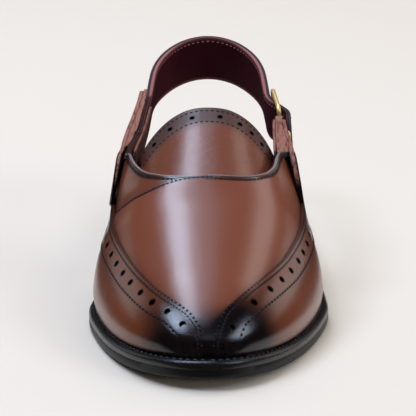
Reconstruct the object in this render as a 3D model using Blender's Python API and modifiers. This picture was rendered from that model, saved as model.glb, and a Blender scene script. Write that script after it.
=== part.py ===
# Kabuli sandal for the left foot: a closed vamp with two proud wings, a tongue and a buckled heel strap.
# Sizes are millimetres. A station is a distance back from the toe tip of the sole, and a height is above the
# ground. The lateral, or outer, side of the foot is +X and the toe points along -Y.
import math
from collections import namedtuple

import bmesh
import bpy
from mathutils import Vector

MM = 0.001
GAP = 0.3
WELD = 0.02
SHARP_DEGREES = 40.0

# Sole
SOLE_LENGTH = 290.0
BALL_STATION = 95.0
TOE_POWER = {"medial": 1.6, "lateral": 1.4}
TOE_ROOT = {"medial": 2.2, "lateral": 2.05}
HEEL_ROUND = 38.0
TOE_SPRING = 5.0
SPRING_END = 65.0
SHANK_START = 122.0
HEEL_BREAST = 208.0
HEEL_RISE = 17.0
OUTSOLE_THICK = 4.0
WELT_THICK = 3.5
INSOLE_THICK = 4.5
WELT_TOE_WIDTH = 12.5
WELT_HEEL_WIDTH = 5.0
INSET_START = 135.0
INSET_END = 205.0
HEEL_TOP_INSET = 1.0
HEEL_BOTTOM_INSET = 2.5
SOLE_STEPS = 60
HEEL_STEPS = 12

SolePlan = namedtuple("SolePlan", "station medial lateral")
SOLE_PLAN = [
    SolePlan(0, 53.0, 53.6),
    SolePlan(60, 53.0, 53.6),
    SolePlan(92, 53.0, 53.8),
    SolePlan(125, 47.5, 52.0),
    SolePlan(155, 39.5, 47.5),
    SolePlan(185, 35.0, 42.0),
    SolePlan(215, 34.8, 38.5),
    SolePlan(245, 36.5, 37.4),
    SolePlan(290, 36.8, 37.2),
]
PLAN_SHIFT = 0.4

# Upper
UPPER_WALL = 2.4
UPPER_LIFT = 0.5
VAMP_TIP = 5.0
VAMP_SPAN = 160.0
TOE_WALL = 24.0
TOE_WALL_POWER = 2.0
TOE_WALL_ROOT = 2.2
TUCK = 1.8
TUCK_HEIGHT = 9.0
TUCK_CENTRE = 60.0
TUCK_REACH = 50.0
VAMP_COLUMNS = 46
VAMP_ROWS = 22
NORMAL_STEP = 0.2
NORMAL_TURN = 0.5
TIP_REACH = 0.01

VampSection = namedtuple("VampSection", "station medial lateral ridge square lean")
VAMP = [
    VampSection(5, 50.0, 50.4, 25.5, 2.3, 0.00),
    VampSection(30, 50.0, 50.4, 36.0, 2.4, 0.00),
    VampSection(60, 50.0, 50.4, 47.0, 2.5, 0.02),
    VampSection(90, 49.8, 50.0, 58.0, 2.7, 0.04),
    VampSection(110, 47.4, 47.9, 66.0, 3.0, 0.07),
    VampSection(132, 44.4, 44.6, 75.5, 4.0, 0.11),
    VampSection(150, 41.0, 42.0, 83.0, 4.0, 0.11),
    VampSection(170, 38.0, 40.0, 90.0, 4.0, 0.11),
]

# Where the vamp ends behind, for each angle up from the welt
RearEdge = namedtuple("RearEdge", "degrees medial lateral")
REAR_EDGE = [
    RearEdge(0, 157.0, 163.0),
    RearEdge(20, 148.0, 151.0),
    RearEdge(36, 139.5, 140.5),
    RearEdge(44, 134.5, 135.0),
    RearEdge(47, 130.5, 130.5),
    RearEdge(51, 119.5, 119.5),
    RearEdge(54, 113.2, 113.2),
    RearEdge(58, 109.4, 109.4),
    RearEdge(66, 106.2, 106.2),
    RearEdge(76, 104.8, 104.8),
    RearEdge(90, 104.4, 104.4),
]

# Tongue
TONGUE_WALL = 2.0
TONGUE_FRONT = 88.0
TONGUE_BACK = 150.0
TONGUE_SWEEP = 11.0
TONGUE_LOW_ANGLE = 38.0
TONGUE_COLUMNS = 24
TONGUE_ROWS = 12

TongueSection = namedtuple("TongueSection", "station half ridge square")
TONGUE = [
    TongueSection(88, 45.0, 53.6, 2.3),
    TongueSection(105, 43.5, 60.6, 2.3),
    TongueSection(125, 42.2, 70.8, 2.3),
    TongueSection(150, 41.0, 84.2, 2.3),
]

# Wings, laid out flat like the vamp: how far up the edge of each wing is at each place across
WING_GAP = 0.5
WING_THICK = 1.4
WING_LOW = 0.02
WING_FRONT = 0.03
WING_SETBACK = 2.0
WING_COLUMNS = 9
WING_ROWS = 28
HALVINGS = 30

WingEdge = namedtuple("WingEdge", "across medial lateral")
WING_EDGE = [
    WingEdge(0.03, 0.17, 0.17),
    WingEdge(0.06, 0.25, 0.25),
    WingEdge(0.10, 0.29, 0.287),
    WingEdge(0.20, 0.345, 0.345),
    WingEdge(0.30, 0.38, 0.387),
    WingEdge(0.40, 0.407, 0.415),
    WingEdge(0.50, 0.433, 0.441),
    WingEdge(0.60, 0.445, 0.46),
    WingEdge(0.75, 0.425, 0.43),
    WingEdge(0.94, 0.335, 0.335),
]

# Straps. The strap line is the height of their top edge, rising from the ears to the heel.
STRAP_FRONT = 132.0
STRAP_BACK = 282.0
STRAP_FRONT_TOP = 66.8
STRAP_RISE = 22.2
STRAP_CURVE = 1.5
PLY_HEIGHT = 60.0
OUTER_LEAN = 0.08

# A side strap is two plies with a filling between them. The inner and outer columns are its faces at the ply
# height, drop and the deep columns are how far its top and bottom edges lie under the strap line.
StrapSection = namedtuple("StrapSection", "station inner outer ply lean drop inner_deep outer_deep")
LATERAL_STRAP = [
    StrapSection(126.0, 31.7, 43.1, 1.8, 0.50, 5.4, 8.0, 17.0),
    StrapSection(128.0, 31.7, 42.9, 1.8, 0.50, 2.3, 8.0, 20.5),
    StrapSection(131.0, 31.7, 42.5, 1.8, 0.50, 0.5, 8.0, 21.8),
    StrapSection(134.0, 31.7, 42.0, 1.8, 0.50, 0.0, 8.0, 21.8),
    StrapSection(140.0, 31.7, 41.3, 1.8, 0.50, 0.0, 8.0, 21.0),
    StrapSection(146.0, 31.8, 40.6, 1.8, 0.40, 0.0, 11.0, 20.8),
    StrapSection(151.0, 31.8, 39.9, 1.8, 0.28, 0.0, 18.0, 20.8),
    StrapSection(157.0, 31.7, 39.0, 1.8, 0.18, 0.0, 21.0, 21.0),
    StrapSection(166.0, 31.5, 38.0, 1.8, 0.14, 0.0, 21.0, 21.0),
    StrapSection(174.0, 31.4, 37.4, 1.8, 0.12, 0.0, 21.0, 21.0),
    StrapSection(181.0, 31.5, 37.2, 1.6, 0.08, 0.3, 20.7, 20.7),
    StrapSection(186.0, 31.8, 37.4, 1.4, 0.08, 0.9, 20.1, 20.1),
    StrapSection(190.5, 31.9, 37.3, 1.25, 0.08, 0.9, 20.1, 20.1),
    StrapSection(192.3, 32.4, 36.8, 1.25, 0.08, 0.9, 20.1, 20.1),
    StrapSection(193.4, 33.4, 35.8, 0.80, 0.08, 0.9, 20.1, 20.1),
]
MEDIAL_STRAP = [
    StrapSection(126.0, 31.7, 43.2, 1.6, 0.50, 5.4, 8.0, 17.0),
    StrapSection(128.0, 31.7, 43.1, 1.6, 0.50, 2.3, 8.0, 20.5),
    StrapSection(131.0, 31.7, 42.8, 1.6, 0.50, 0.5, 8.0, 21.8),
    StrapSection(134.0, 31.7, 42.4, 1.6, 0.50, 0.0, 8.0, 21.8),
    StrapSection(140.0, 31.7, 41.5, 1.6, 0.50, 0.0, 8.0, 21.0),
    StrapSection(146.0, 31.8, 40.5, 1.8, 0.40, 0.0, 11.0, 20.8),
    StrapSection(151.0, 31.8, 39.4, 1.8, 0.28, 0.0, 18.0, 20.8),
    StrapSection(157.0, 31.6, 38.3, 1.8, 0.18, 0.0, 21.0, 21.0),
    StrapSection(163.0, 31.4, 37.3, 1.8, 0.14, 0.0, 21.0, 21.0),
    StrapSection(170.0, 31.0, 36.3, 1.9, 0.10, 0.0, 21.0, 21.0),
    StrapSection(180.0, 30.4, 35.3, 1.9, 0.08, 0.0, 21.0, 21.0),
    StrapSection(190.0, 30.0, 34.6, 1.9, 0.08, 0.0, 21.0, 21.0),
    StrapSection(202.0, 29.0, 33.6, 1.9, 0.08, 0.0, 21.0, 21.0),
    StrapSection(209.5, 28.4, 33.2, 1.9, 0.08, 0.6, 20.4, 20.4),
    StrapSection(211.0, 28.4, 33.2, 1.9, 0.08, 2.0, 19.0, 19.0),
]
# Stations between which each layer of a side strap is there
Layers = namedtuple("Layers", "inner filling outer")
LATERAL_LAYERS = Layers([(134.0, 193.4)], [(151.0, 186.0), (192.3, 193.4)], [(126.0, 193.4)])
MEDIAL_LAYERS = Layers([(134.0, 163.0)], [(151.0, 163.0)], [(126.0, 211.0)])

# Heel strap, by the half-width of its outer face, and its free end through the buckle
HEEL_STRAP_THICK = 2.2
HEEL_STRAP_END = 166.0
HEEL_STRAP_ROUND = 48.0
HEEL_STRAP_SIDE_STEPS = 9
HEEL_STRAP_BACK_STEPS = 12
HEEL_STRAP_DROP = 0.5
HEEL_STRAP_WIDTH = 20.0
HEEL_STRAP_SPREAD = 2.5
SPREAD_START = 225.0
SPREAD_END = 270.0
HEEL_STRAP_LEAN = 0.08

StrapPath = namedtuple("StrapPath", "station half")
HEEL_STRAP = [
    StrapPath(166, 33.9),
    StrapPath(178, 32.8),
    StrapPath(190, 32.1),
    StrapPath(202, 31.1),
    StrapPath(212, 30.5),
    StrapPath(223, 30.1),
    StrapPath(240, 29.2),
    StrapPath(282, 28.6),
]
STRAP_TAIL = [
    StrapPath(180.6, 39.7),
    StrapPath(182.5, 39.8),
    StrapPath(186.0, 39.9),
    StrapPath(190.5, 39.9),
    StrapPath(194.0, 39.2),
    StrapPath(198.0, 37.2),
    StrapPath(202.0, 34.9),
    StrapPath(206.0, 32.6),
    StrapPath(210.0, 31.2),
    StrapPath(215.0, 30.5),
]
TAIL_TIP_DROPS = (5.5, 1.5)

# Buckle
BUCKLE_WIRE = 1.1
BUCKLE_FRONT = (34.5, 190.5)
BUCKLE_BACK = (32.1, 214.0)
BUCKLE_OVER = 2.2
BUCKLE_CORNER = 2.4
CORNER_STEPS = 4
WIRE_RESOLUTION = 2
PRONG_THICK = 1.6
PRONG_EYE = 1.5
PRONG_RING = 2.7
PRONG_END = 216.0
PRONG_END_X = 34.5
PRONG_STEPS = 16
SLOT_HEIGHT = 3.4
SLOT_FRONT = 187.2
SLOT_BACK = 206.5
SLOT_INNER = 27.0
SLOT_OUTER = 37.5

# Rivet
RIVET_STATION = 174.0
RIVET_DROP = 6.0
RIVET_SHAFT = 1.3
RIVET_HOLE = 1.7
RIVET_HEAD = 3.2
RIVET_DOME = 1.1
RIVET_SHOULDER = 0.62
RIVET_SHOULDER_RISE = 0.8
RIVET_MERGE = 0.01
RIVET_INNER = 30.1
RIVET_OUTER = 37.7
RIVET_SIDES = 20


def along(table, column, place):
    """Smooth value of one column of a table, at a place given by the table's first column."""
    rows = [(row[0], getattr(row, column)) for row in table]
    if place <= rows[0][0]:
        return rows[0][1]
    if place >= rows[-1][0]:
        return rows[-1][1]
    index = next(i for i in range(len(rows) - 1) if place <= rows[i + 1][0])

    def slope(i):
        before = rows[max(i - 1, 0)]
        after = rows[min(i + 1, len(rows) - 1)]
        return (after[1] - before[1]) / (after[0] - before[0])

    (start, first), (end, last) = rows[index], rows[index + 1]
    span = end - start
    t = (place - start) / span
    rise = (2 * t ** 3 - 3 * t ** 2 + 1) * first + (3 * t ** 2 - 2 * t ** 3) * last
    bend = (t ** 3 - 2 * t ** 2 + t) * slope(index) + (t ** 3 - t ** 2) * slope(index + 1)
    return rise + span * bend


def rounded(distance, reach, power=2.0, root=2.0):
    """Share of the full size that a rounded end has at a distance from its tip."""
    t = min(max(distance / reach, 0.0), 1.0)
    return (1.0 - (1.0 - t) ** power) ** (1.0 / root)


def ease(t):
    t = min(max(t, 0.0), 1.0)
    return t * t * (3.0 - 2.0 * t)


def world(x, station, height):
    """A place on the shoe as a point in metres, with the origin under the middle of the sole."""
    return Vector((x - PLAN_SHIFT, station - SOLE_LENGTH / 2, height)) * MM


# Sole shape


def sole_bottom(station):
    """Height of the outsole's underside: toe spring, flat tread and rising shank."""
    if station < SPRING_END:
        return TOE_SPRING * (1.0 - station / SPRING_END) ** 2
    return HEEL_RISE * ease((station - SHANK_START) / (HEEL_BREAST - SHANK_START))


def welt_top(station):
    return sole_bottom(station) + OUTSOLE_THICK + GAP + WELT_THICK


def sole_half(station, side, toe_inset, heel_inset):
    """Half-width of the sole outline, set in from the edge by one amount in front and another behind."""
    share = ease((station - INSET_START) / (INSET_END - INSET_START))
    inset = toe_inset + (heel_inset - toe_inset) * share
    toe = rounded(station - toe_inset, BALL_STATION - toe_inset, TOE_POWER[side], TOE_ROOT[side])
    heel = rounded(SOLE_LENGTH - heel_inset - station, HEEL_ROUND - heel_inset)
    return (along(SOLE_PLAN, side, station) - inset) * toe * heel


def outline(stations, toe_inset, heel_inset):
    """Closed outline: back along the lateral side, then forward along the medial side."""
    lateral = [(sole_half(s, "lateral", toe_inset, heel_inset), s) for s in stations]
    medial = [(-sole_half(s, "medial", toe_inset, heel_inset), s) for s in stations]
    return lateral, medial


def sole_stations(toe_inset, heel_inset):
    length = SOLE_LENGTH - toe_inset - heel_inset
    shares = [(1 - math.cos(math.pi * i / SOLE_STEPS)) / 2 for i in range(SOLE_STEPS + 1)]
    return [toe_inset + length * share for share in shares]


# Upper shape


def vamp_point(station, degrees):
    """Point on the vamp's outer face. The angle goes from 0 at the lateral welt to 180 at the medial welt."""
    foot = welt_top(station) + UPPER_LIFT
    side = "lateral" if degrees <= 90 else "medial"
    plan_round = rounded(station - VAMP_TIP, BALL_STATION - VAMP_TIP, TOE_POWER[side], TOE_ROOT[side])
    wall_round = rounded(station - VAMP_TIP, TOE_WALL, TOE_WALL_POWER, TOE_WALL_ROOT)
    half = along(VAMP, side, station) * plan_round
    height = (along(VAMP, "ridge", station) - foot) * wall_round
    square = along(VAMP, "square", station)
    across = math.cos(math.radians(degrees))
    rise = math.sin(math.radians(degrees))
    reach = (abs(across) ** square + abs(rise) ** square) ** (-1.0 / square)
    across *= reach
    rise *= reach
    x = half * across * (1.0 - along(VAMP, "lean", station) * rise)
    above = height * rise
    pull = TUCK / TUCK_REACH * max(0.0, 1.0 - above / TUCK_HEIGHT) ** 2
    moved = TUCK_CENTRE + (station - TUCK_CENTRE) * (1.0 - pull)
    return Vector((x * (1.0 - pull), moved, welt_top(moved) + UPPER_LIFT + above))


def vamp_rear(degrees):
    side = "lateral" if degrees <= 90 else "medial"
    return along(REAR_EDGE, side, min(degrees, 180 - degrees))


def spread(across, up):
    """Station and angle of a place on the vamp laid out flat: 0, 0 at the toe tip and up 0 along the welt."""
    reach = math.hypot(across, up)
    return VAMP_TIP + VAMP_SPAN * reach ** 2, math.degrees(math.atan2(up, across))


def vamp_normal(station, degrees):
    """Outward direction of the vamp's face, straight ahead at the toe tip."""
    if station < VAMP_TIP + TIP_REACH:
        return Vector((0, -1, 0))
    step = min(NORMAL_STEP, (station - VAMP_TIP) / 2)
    low = max(degrees - NORMAL_TURN, 0)
    high = min(degrees + NORMAL_TURN, 180)
    ahead = vamp_point(station + step, degrees) - vamp_point(station - step, degrees)
    up = vamp_point(station, high) - vamp_point(station, low)
    return ahead.cross(up).normalized()


def tongue_point(station, degrees):
    foot = welt_top(station)
    square = along(TONGUE, "square", station)
    across = math.cos(math.radians(degrees))
    rise = math.sin(math.radians(degrees))
    reach = (abs(across) ** square + abs(rise) ** square) ** (-1.0 / square)
    half = along(TONGUE, "half", station)
    height = along(TONGUE, "ridge", station) - foot
    return Vector((half * across * reach, station, foot + height * rise * reach))


# Mesh helpers


def material(name, colour, roughness, metallic=0.0):
    made = bpy.data.materials.new(name)
    made.use_nodes = True
    shader = made.node_tree.nodes["Principled BSDF"]
    shader.inputs["Base Color"].default_value = (*colour, 1.0)
    shader.inputs["Roughness"].default_value = roughness
    shader.inputs["Metallic"].default_value = metallic
    return made


def add_object(name, mesh, finish):
    mesh.materials.append(finish)
    made = bpy.data.objects.new(name, mesh)
    parts.objects.link(made)
    return made


def finish_mesh(name, work, finish):
    """Makes the object from its finished faces, shaded smooth."""
    mesh = bpy.data.meshes.new(name)
    work.to_mesh(mesh)
    work.free()
    mesh.shade_smooth()
    mesh.set_sharp_from_angle(angle=math.radians(SHARP_DEGREES))
    return add_object(name, mesh, finish)


def close_mesh(name, work, finish):
    """Welds the points of a closed solid, turns its faces outward and makes the object."""
    bmesh.ops.remove_doubles(work, verts=work.verts, dist=WELD * MM)
    bmesh.ops.recalc_face_normals(work, faces=work.faces)
    return finish_mesh(name, work, finish)


def grid_faces(work, rows):
    """Quads between neighbouring rows of points."""
    made = [[work.verts.new(point) for point in row] for row in rows]
    for row, following in zip(made, made[1:]):
        for i in range(len(row) - 1):
            work.faces.new((row[i], row[i + 1], following[i + 1], following[i]))
    return made


def shell(name, rows, thick, outward, finish):
    """Open surface given a wall by Solidify, on its inner or outer side."""
    work = bmesh.new()
    grid_faces(work, rows)
    bmesh.ops.remove_doubles(work, verts=work.verts, dist=WELD * MM)
    work.normal_update()
    inside = sum((v.co for v in work.verts), Vector()) / len(work.verts)
    inside.x = 0.0
    facing = sum(face.normal.dot(face.calc_center_median() - inside) for face in work.faces)
    if facing < 0:
        bmesh.ops.reverse_faces(work, faces=work.faces)
    made = finish_mesh(name, work, finish)
    wall = made.modifiers.new("wall", "SOLIDIFY")
    wall.thickness = thick * MM
    wall.offset = 1.0 if outward else -1.0
    return made


def slab(name, low_outline, high_outline, low, high, finish):
    """Solid between two like outlines, whose heights depend on the station alone."""
    work = bmesh.new()
    corners = [[], [], [], []]
    for shape, height, first in ((low_outline, low, 0), (high_outline, high, 2)):
        for side, points in enumerate(shape):
            corners[first + side] = [world(x, s, height(s)) for x, s in points]
    sections = [[a, b, d, c, a] for a, b, c, d in zip(*corners)]
    made = grid_faces(work, sections)
    for section in (made[0], made[-1]):
        work.faces.new(section[:4])
    return close_mesh(name, work, finish)


# Pieces


def make_outsole(finish):
    shape = outline(sole_stations(0, 0), 0, 0)
    slab("outsole", shape, shape, sole_bottom, lambda s: sole_bottom(s) + OUTSOLE_THICK, finish)


def make_heel_block(finish):
    shapes = []
    for inset in (HEEL_BOTTOM_INSET, HEEL_TOP_INSET):
        depth = SOLE_LENGTH - inset - HEEL_BREAST
        stations = [HEEL_BREAST + depth * (1 - (1 - i / HEEL_STEPS) ** 2) for i in range(HEEL_STEPS + 1)]
        shapes.append(outline(stations, inset, inset))
    slab("heel_block", *shapes, lambda s: 0.0, lambda s: sole_bottom(s) - GAP, finish)


def make_welt(finish):
    rings = []
    for toe_inset, heel_inset in ((0, 0), (WELT_TOE_WIDTH, WELT_HEEL_WIDTH)):
        lateral, medial = outline(sole_stations(toe_inset, heel_inset), toe_inset, heel_inset)
        rings.append(lateral + medial[-2:0:-1])
    sections = []
    for (outer_x, outer_s), (inner_x, inner_s) in zip(*rings):
        section = [world(outer_x, outer_s, welt_top(outer_s) - WELT_THICK)]
        section.append(world(outer_x, outer_s, welt_top(outer_s)))
        section.append(world(inner_x, inner_s, welt_top(inner_s)))
        section.append(world(inner_x, inner_s, welt_top(inner_s) - WELT_THICK))
        sections.append(section + section[:1])
    work = bmesh.new()
    grid_faces(work, sections + sections[:1])
    close_mesh("welt", work, finish)


def make_insole(finish):
    insets = (WELT_TOE_WIDTH + GAP, WELT_HEEL_WIDTH + GAP)
    shape = outline(sole_stations(*insets), *insets)
    low = OUTSOLE_THICK + GAP
    high = low + INSOLE_THICK
    slab("insole", shape, shape, lambda s: sole_bottom(s) + low, lambda s: sole_bottom(s) + high, finish)


def make_upper(finish):
    rows = []
    for row in range(VAMP_ROWS + 1):
        points = []
        for column in range(VAMP_COLUMNS + 1):
            degrees = 180 * column / VAMP_COLUMNS
            station = VAMP_TIP + (vamp_rear(degrees) - VAMP_TIP) * (row / VAMP_ROWS) ** 2
            points.append(world(*vamp_point(station, degrees)))
        rows.append(points)
    shell("upper", rows, UPPER_WALL, False, finish)


def make_tongue(finish):
    rows = []
    for row in range(TONGUE_ROWS + 1):
        points = []
        for column in range(TONGUE_COLUMNS + 1):
            share = 2 * column / TONGUE_COLUMNS - 1
            degrees = 90 + (90 - TONGUE_LOW_ANGLE) * share
            back = TONGUE_BACK - TONGUE_SWEEP * share ** 2
            station = TONGUE_FRONT + (back - TONGUE_FRONT) * row / TONGUE_ROWS
            points.append(world(*tongue_point(station, degrees)))
        rows.append(points)
    shell("tongue", rows, TONGUE_WALL, False, finish)


def wing_back(side, share):
    """How far across a wing's row reaches, so that it ends just ahead of the vamp's rear edge."""
    near, far = WING_FRONT, 1.0
    for _ in range(HALVINGS):
        across = (near + far) / 2
        up = WING_LOW + (along(WING_EDGE, side, across) - WING_LOW) * share
        station, degrees = spread(across, up)
        limit = along(REAR_EDGE, side, degrees) - WING_SETBACK
        near, far = (across, far) if station < limit else (near, across)
    return near


def make_wing(side, finish):
    """Overlay from the welt up to the wing's edge, clear of the vamp by the wing gap."""
    columns = []
    for column in range(WING_COLUMNS + 1):
        share = column / WING_COLUMNS
        back = wing_back(side, share)
        points = []
        for row in range(WING_ROWS + 1):
            across = WING_FRONT + (back - WING_FRONT) * row / WING_ROWS
            up = WING_LOW + (along(WING_EDGE, side, across) - WING_LOW) * share
            station, degrees = spread(across, up)
            if side == "medial":
                degrees = 180 - degrees
            place = vamp_point(station, degrees) + vamp_normal(station, degrees) * WING_GAP
            points.append(world(*place))
        columns.append(points)
    shell("wing_" + side, columns, WING_THICK, True, finish)


def strap_line(station):
    """Height of the straps' top edge."""
    t = max(station - STRAP_FRONT, 0.0) / (STRAP_BACK - STRAP_FRONT)
    return STRAP_FRONT_TOP + STRAP_RISE * t ** STRAP_CURVE


def make_side_strap(name, table, layers, sign, finish):
    """Two plies and the filling between them, each made only at the stations where it is there."""
    work = bmesh.new()
    corners = []
    for row in table:
        levels = []
        for inner_low, outer_low in ((row.inner_deep, row.outer_deep), (row.drop, row.drop)):
            inner_z = strap_line(row.station) - inner_low
            outer_z = strap_line(row.station) - outer_low
            inner_x = row.inner - row.lean * (inner_z - PLY_HEIGHT)
            outer_x = row.outer - OUTER_LEAN * (outer_z - PLY_HEIGHT)
            places = [(inner_x, inner_z), (inner_x + row.ply, inner_z)]
            places += [(outer_x - row.ply, outer_z), (outer_x, outer_z)]
            levels.append([work.verts.new(world(sign * x, row.station, z)) for x, z in places])
        corners.append(levels)

    def filled(step, layer):
        if not (0 <= step < len(table) - 1 and 0 <= layer < len(layers)):
            return False
        middle = (table[step].station + table[step + 1].station) / 2
        return any(start < middle < end for start, end in layers[layer])

    for step in range(len(table) - 1):
        (low, high), (next_low, next_high) = corners[step], corners[step + 1]
        for layer in range(len(layers)):
            if not filled(step, layer):
                continue
            a, b = layer, layer + 1
            work.faces.new((low[a], low[b], next_low[b], next_low[a]))
            work.faces.new((high[a], high[b], next_high[b], next_high[a]))
            for face, neighbour in ((a, layer - 1), (b, layer + 1)):
                if not filled(step, neighbour):
                    work.faces.new((low[face], high[face], next_high[face], next_low[face]))
            if not filled(step - 1, layer):
                work.faces.new((low[a], low[b], high[b], high[a]))
            if not filled(step + 1, layer):
                work.faces.new((next_low[a], next_low[b], next_high[b], next_high[a]))
    loose = [vert for vert in work.verts if not vert.link_faces]
    bmesh.ops.delete(work, geom=loose, context="VERTS")
    return close_mesh(name, work, finish)


def heel_strap_half(station):
    round_end = rounded(STRAP_BACK - station, HEEL_STRAP_ROUND)
    return along(HEEL_STRAP, "half", station) * round_end


def heel_strap_path():
    """Outer face of the heel strap in plan, from its medial end round the heel to its free end."""
    side_end = STRAP_BACK - HEEL_STRAP_ROUND
    medial = []
    for step in range(HEEL_STRAP_SIDE_STEPS):
        station = HEEL_STRAP_END + (side_end - HEEL_STRAP_END) * step / HEEL_STRAP_SIDE_STEPS
        medial.append((-heel_strap_half(station), station))
    back = []
    for step in range(-HEEL_STRAP_BACK_STEPS, HEEL_STRAP_BACK_STEPS + 1):
        turn = math.pi / 2 * step / HEEL_STRAP_BACK_STEPS
        station = STRAP_BACK - HEEL_STRAP_ROUND * (1.0 - math.cos(turn))
        back.append((math.copysign(heel_strap_half(station), step), station))
    gate = STRAP_TAIL[-1].station
    lateral = [(-x, s) for x, s in reversed(medial) if s > gate + GAP]
    tail = [(row.half, row.station) for row in reversed(STRAP_TAIL)]
    return medial + back + lateral + tail


def make_heel_strap(finish):
    path = [Vector(point) for point in heel_strap_path()]
    sections = []
    for i, point in enumerate(path):
        ahead = path[min(i + 1, len(path) - 1)] - path[max(i - 1, 0)]
        inward = Vector((ahead.y, -ahead.x)).normalized()
        top = strap_line(point.y) - HEEL_STRAP_DROP
        share = ease((point.y - SPREAD_START) / (SPREAD_END - SPREAD_START))
        wide = HEEL_STRAP_WIDTH + HEEL_STRAP_SPREAD * share
        from_tip = len(path) - 1 - i
        trim = TAIL_TIP_DROPS[from_tip] if from_tip < len(TAIL_TIP_DROPS) else 0.0
        middle = top - wide / 2
        low = top - wide + trim
        high = top - trim
        section = []
        for depth, level in ((0, low), (0, high), (HEEL_STRAP_THICK, high), (HEEL_STRAP_THICK, low)):
            place = point + inward * (depth + HEEL_STRAP_LEAN * (level - middle))
            section.append(world(place.x, place.y, level))
        sections.append(section + section[:1])
    work = bmesh.new()
    made = grid_faces(work, sections)
    for section in (made[0], made[-1]):
        work.faces.new(section[:4])
    return close_mesh("heel_strap", work, finish)


def strap_middle(station):
    return strap_line(station) - HEEL_STRAP_DROP - HEEL_STRAP_WIDTH / 2


def make_buckle_frame(finish):
    """Wire frame, a round-cornered oblong that follows the strap's slope."""
    data = bpy.data.curves.new("buckle_frame", "CURVE")
    data.dimensions = "3D"
    data.bevel_depth = BUCKLE_WIRE * MM
    data.bevel_resolution = WIRE_RESOLUTION
    half_high = HEEL_STRAP_WIDTH / 2 + BUCKLE_OVER
    half_long = (BUCKLE_BACK[1] - BUCKLE_FRONT[1]) / 2
    points = []
    for quarter in range(4):
        back = 1 if quarter in (0, 3) else -1
        up = 1 if quarter in (0, 1) else -1
        for step in range(CORNER_STEPS + 1):
            turn = math.pi / 2 * (quarter + step / CORNER_STEPS)
            along_y = back * (half_long - BUCKLE_CORNER) + BUCKLE_CORNER * math.cos(turn)
            share = (along_y / half_long + 1) / 2
            station = BUCKLE_FRONT[1] + (BUCKLE_BACK[1] - BUCKLE_FRONT[1]) * share
            x = BUCKLE_FRONT[0] + (BUCKLE_BACK[0] - BUCKLE_FRONT[0]) * share
            height = up * (half_high - BUCKLE_CORNER) + BUCKLE_CORNER * math.sin(turn)
            points.append(world(x - HEEL_STRAP_LEAN * height, station, strap_middle(station) + height))
    spline = data.splines.new("POLY")
    spline.points.add(len(points) - 1)
    for target, place in zip(spline.points, points):
        target.co = (*place, 1.0)
    spline.use_cyclic_u = True
    return add_object("buckle_frame", data, finish)


def make_buckle_prong(finish):
    """Flat prong with an eye round the buckle's front bar, resting on its back bar."""
    data = bpy.data.curves.new("buckle_prong", "CURVE")
    data.dimensions = "2D"
    data.fill_mode = "BOTH"
    data.extrude = PRONG_THICK / 2 * MM
    eye_x, eye_s = BUCKLE_FRONT
    half = PRONG_THICK / 2
    leave = math.asin(half / PRONG_RING)
    rim = []
    for step in range(PRONG_STEPS + 1):
        turn = leave + (2 * math.pi - 2 * leave) * step / PRONG_STEPS
        rim.append((eye_x + PRONG_RING * math.sin(turn), eye_s + PRONG_RING * math.cos(turn)))
    rim.append((PRONG_END_X - half, PRONG_END - half))
    rim.append((PRONG_END_X, PRONG_END))
    rim.append((PRONG_END_X + half, PRONG_END - half))
    eye = []
    for step in range(PRONG_STEPS):
        turn = 2 * math.pi * step / PRONG_STEPS
        eye.append((eye_x + PRONG_EYE * math.sin(turn), eye_s + PRONG_EYE * math.cos(turn)))
    origin = world(eye_x, eye_s, strap_middle(eye_s))
    for ring in (rim, eye):
        spline = data.splines.new("POLY")
        spline.points.add(len(ring) - 1)
        for target, (x, s) in zip(spline.points, ring):
            target.co = ((x - eye_x) * MM, (s - eye_s) * MM, 0.0, 1.0)
        spline.use_cyclic_u = True
    made = add_object("buckle_prong", data, finish)
    made.location = origin
    made.rotation_euler = (buckle_slope(), 0, 0)
    return made


def buckle_slope():
    front, back = BUCKLE_FRONT[1], BUCKLE_BACK[1]
    return math.atan2(strap_middle(back) - strap_middle(front), back - front)


def make_slot_cutter():
    """Box that opens a slot for the prong in the strap's fold and in the heel strap."""
    work = bmesh.new()
    bmesh.ops.create_cube(work, size=1.0)
    size = (SLOT_OUTER - SLOT_INNER, SLOT_BACK - SLOT_FRONT, SLOT_HEIGHT)
    bmesh.ops.scale(work, vec=Vector(size) * MM, verts=work.verts)
    mesh = bpy.data.meshes.new("slot_cutter")
    work.to_mesh(mesh)
    work.free()
    middle = (SLOT_FRONT + SLOT_BACK) / 2
    made = add_cutter("slot_cutter", mesh)
    made.location = world((SLOT_INNER + SLOT_OUTER) / 2, middle, strap_middle(middle))
    made.rotation_euler = (buckle_slope(), 0, 0)
    return made


def make_rivet_cutter():
    work = bmesh.new()
    length = (RIVET_OUTER - RIVET_INNER) * 2 * MM
    radius = RIVET_HOLE * MM
    bmesh.ops.create_cone(
        work, cap_ends=True, segments=RIVET_SIDES, radius1=radius, radius2=radius, depth=length
    )
    mesh = bpy.data.meshes.new("rivet_cutter")
    work.to_mesh(mesh)
    work.free()
    made = add_cutter("rivet_cutter", mesh)
    made.location = rivet_place()
    made.rotation_euler = (0, math.pi / 2, 0)
    return made


def rivet_place():
    height = strap_line(RIVET_STATION) - RIVET_DROP
    return world((RIVET_INNER + RIVET_OUTER) / 2, RIVET_STATION, height)


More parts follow.
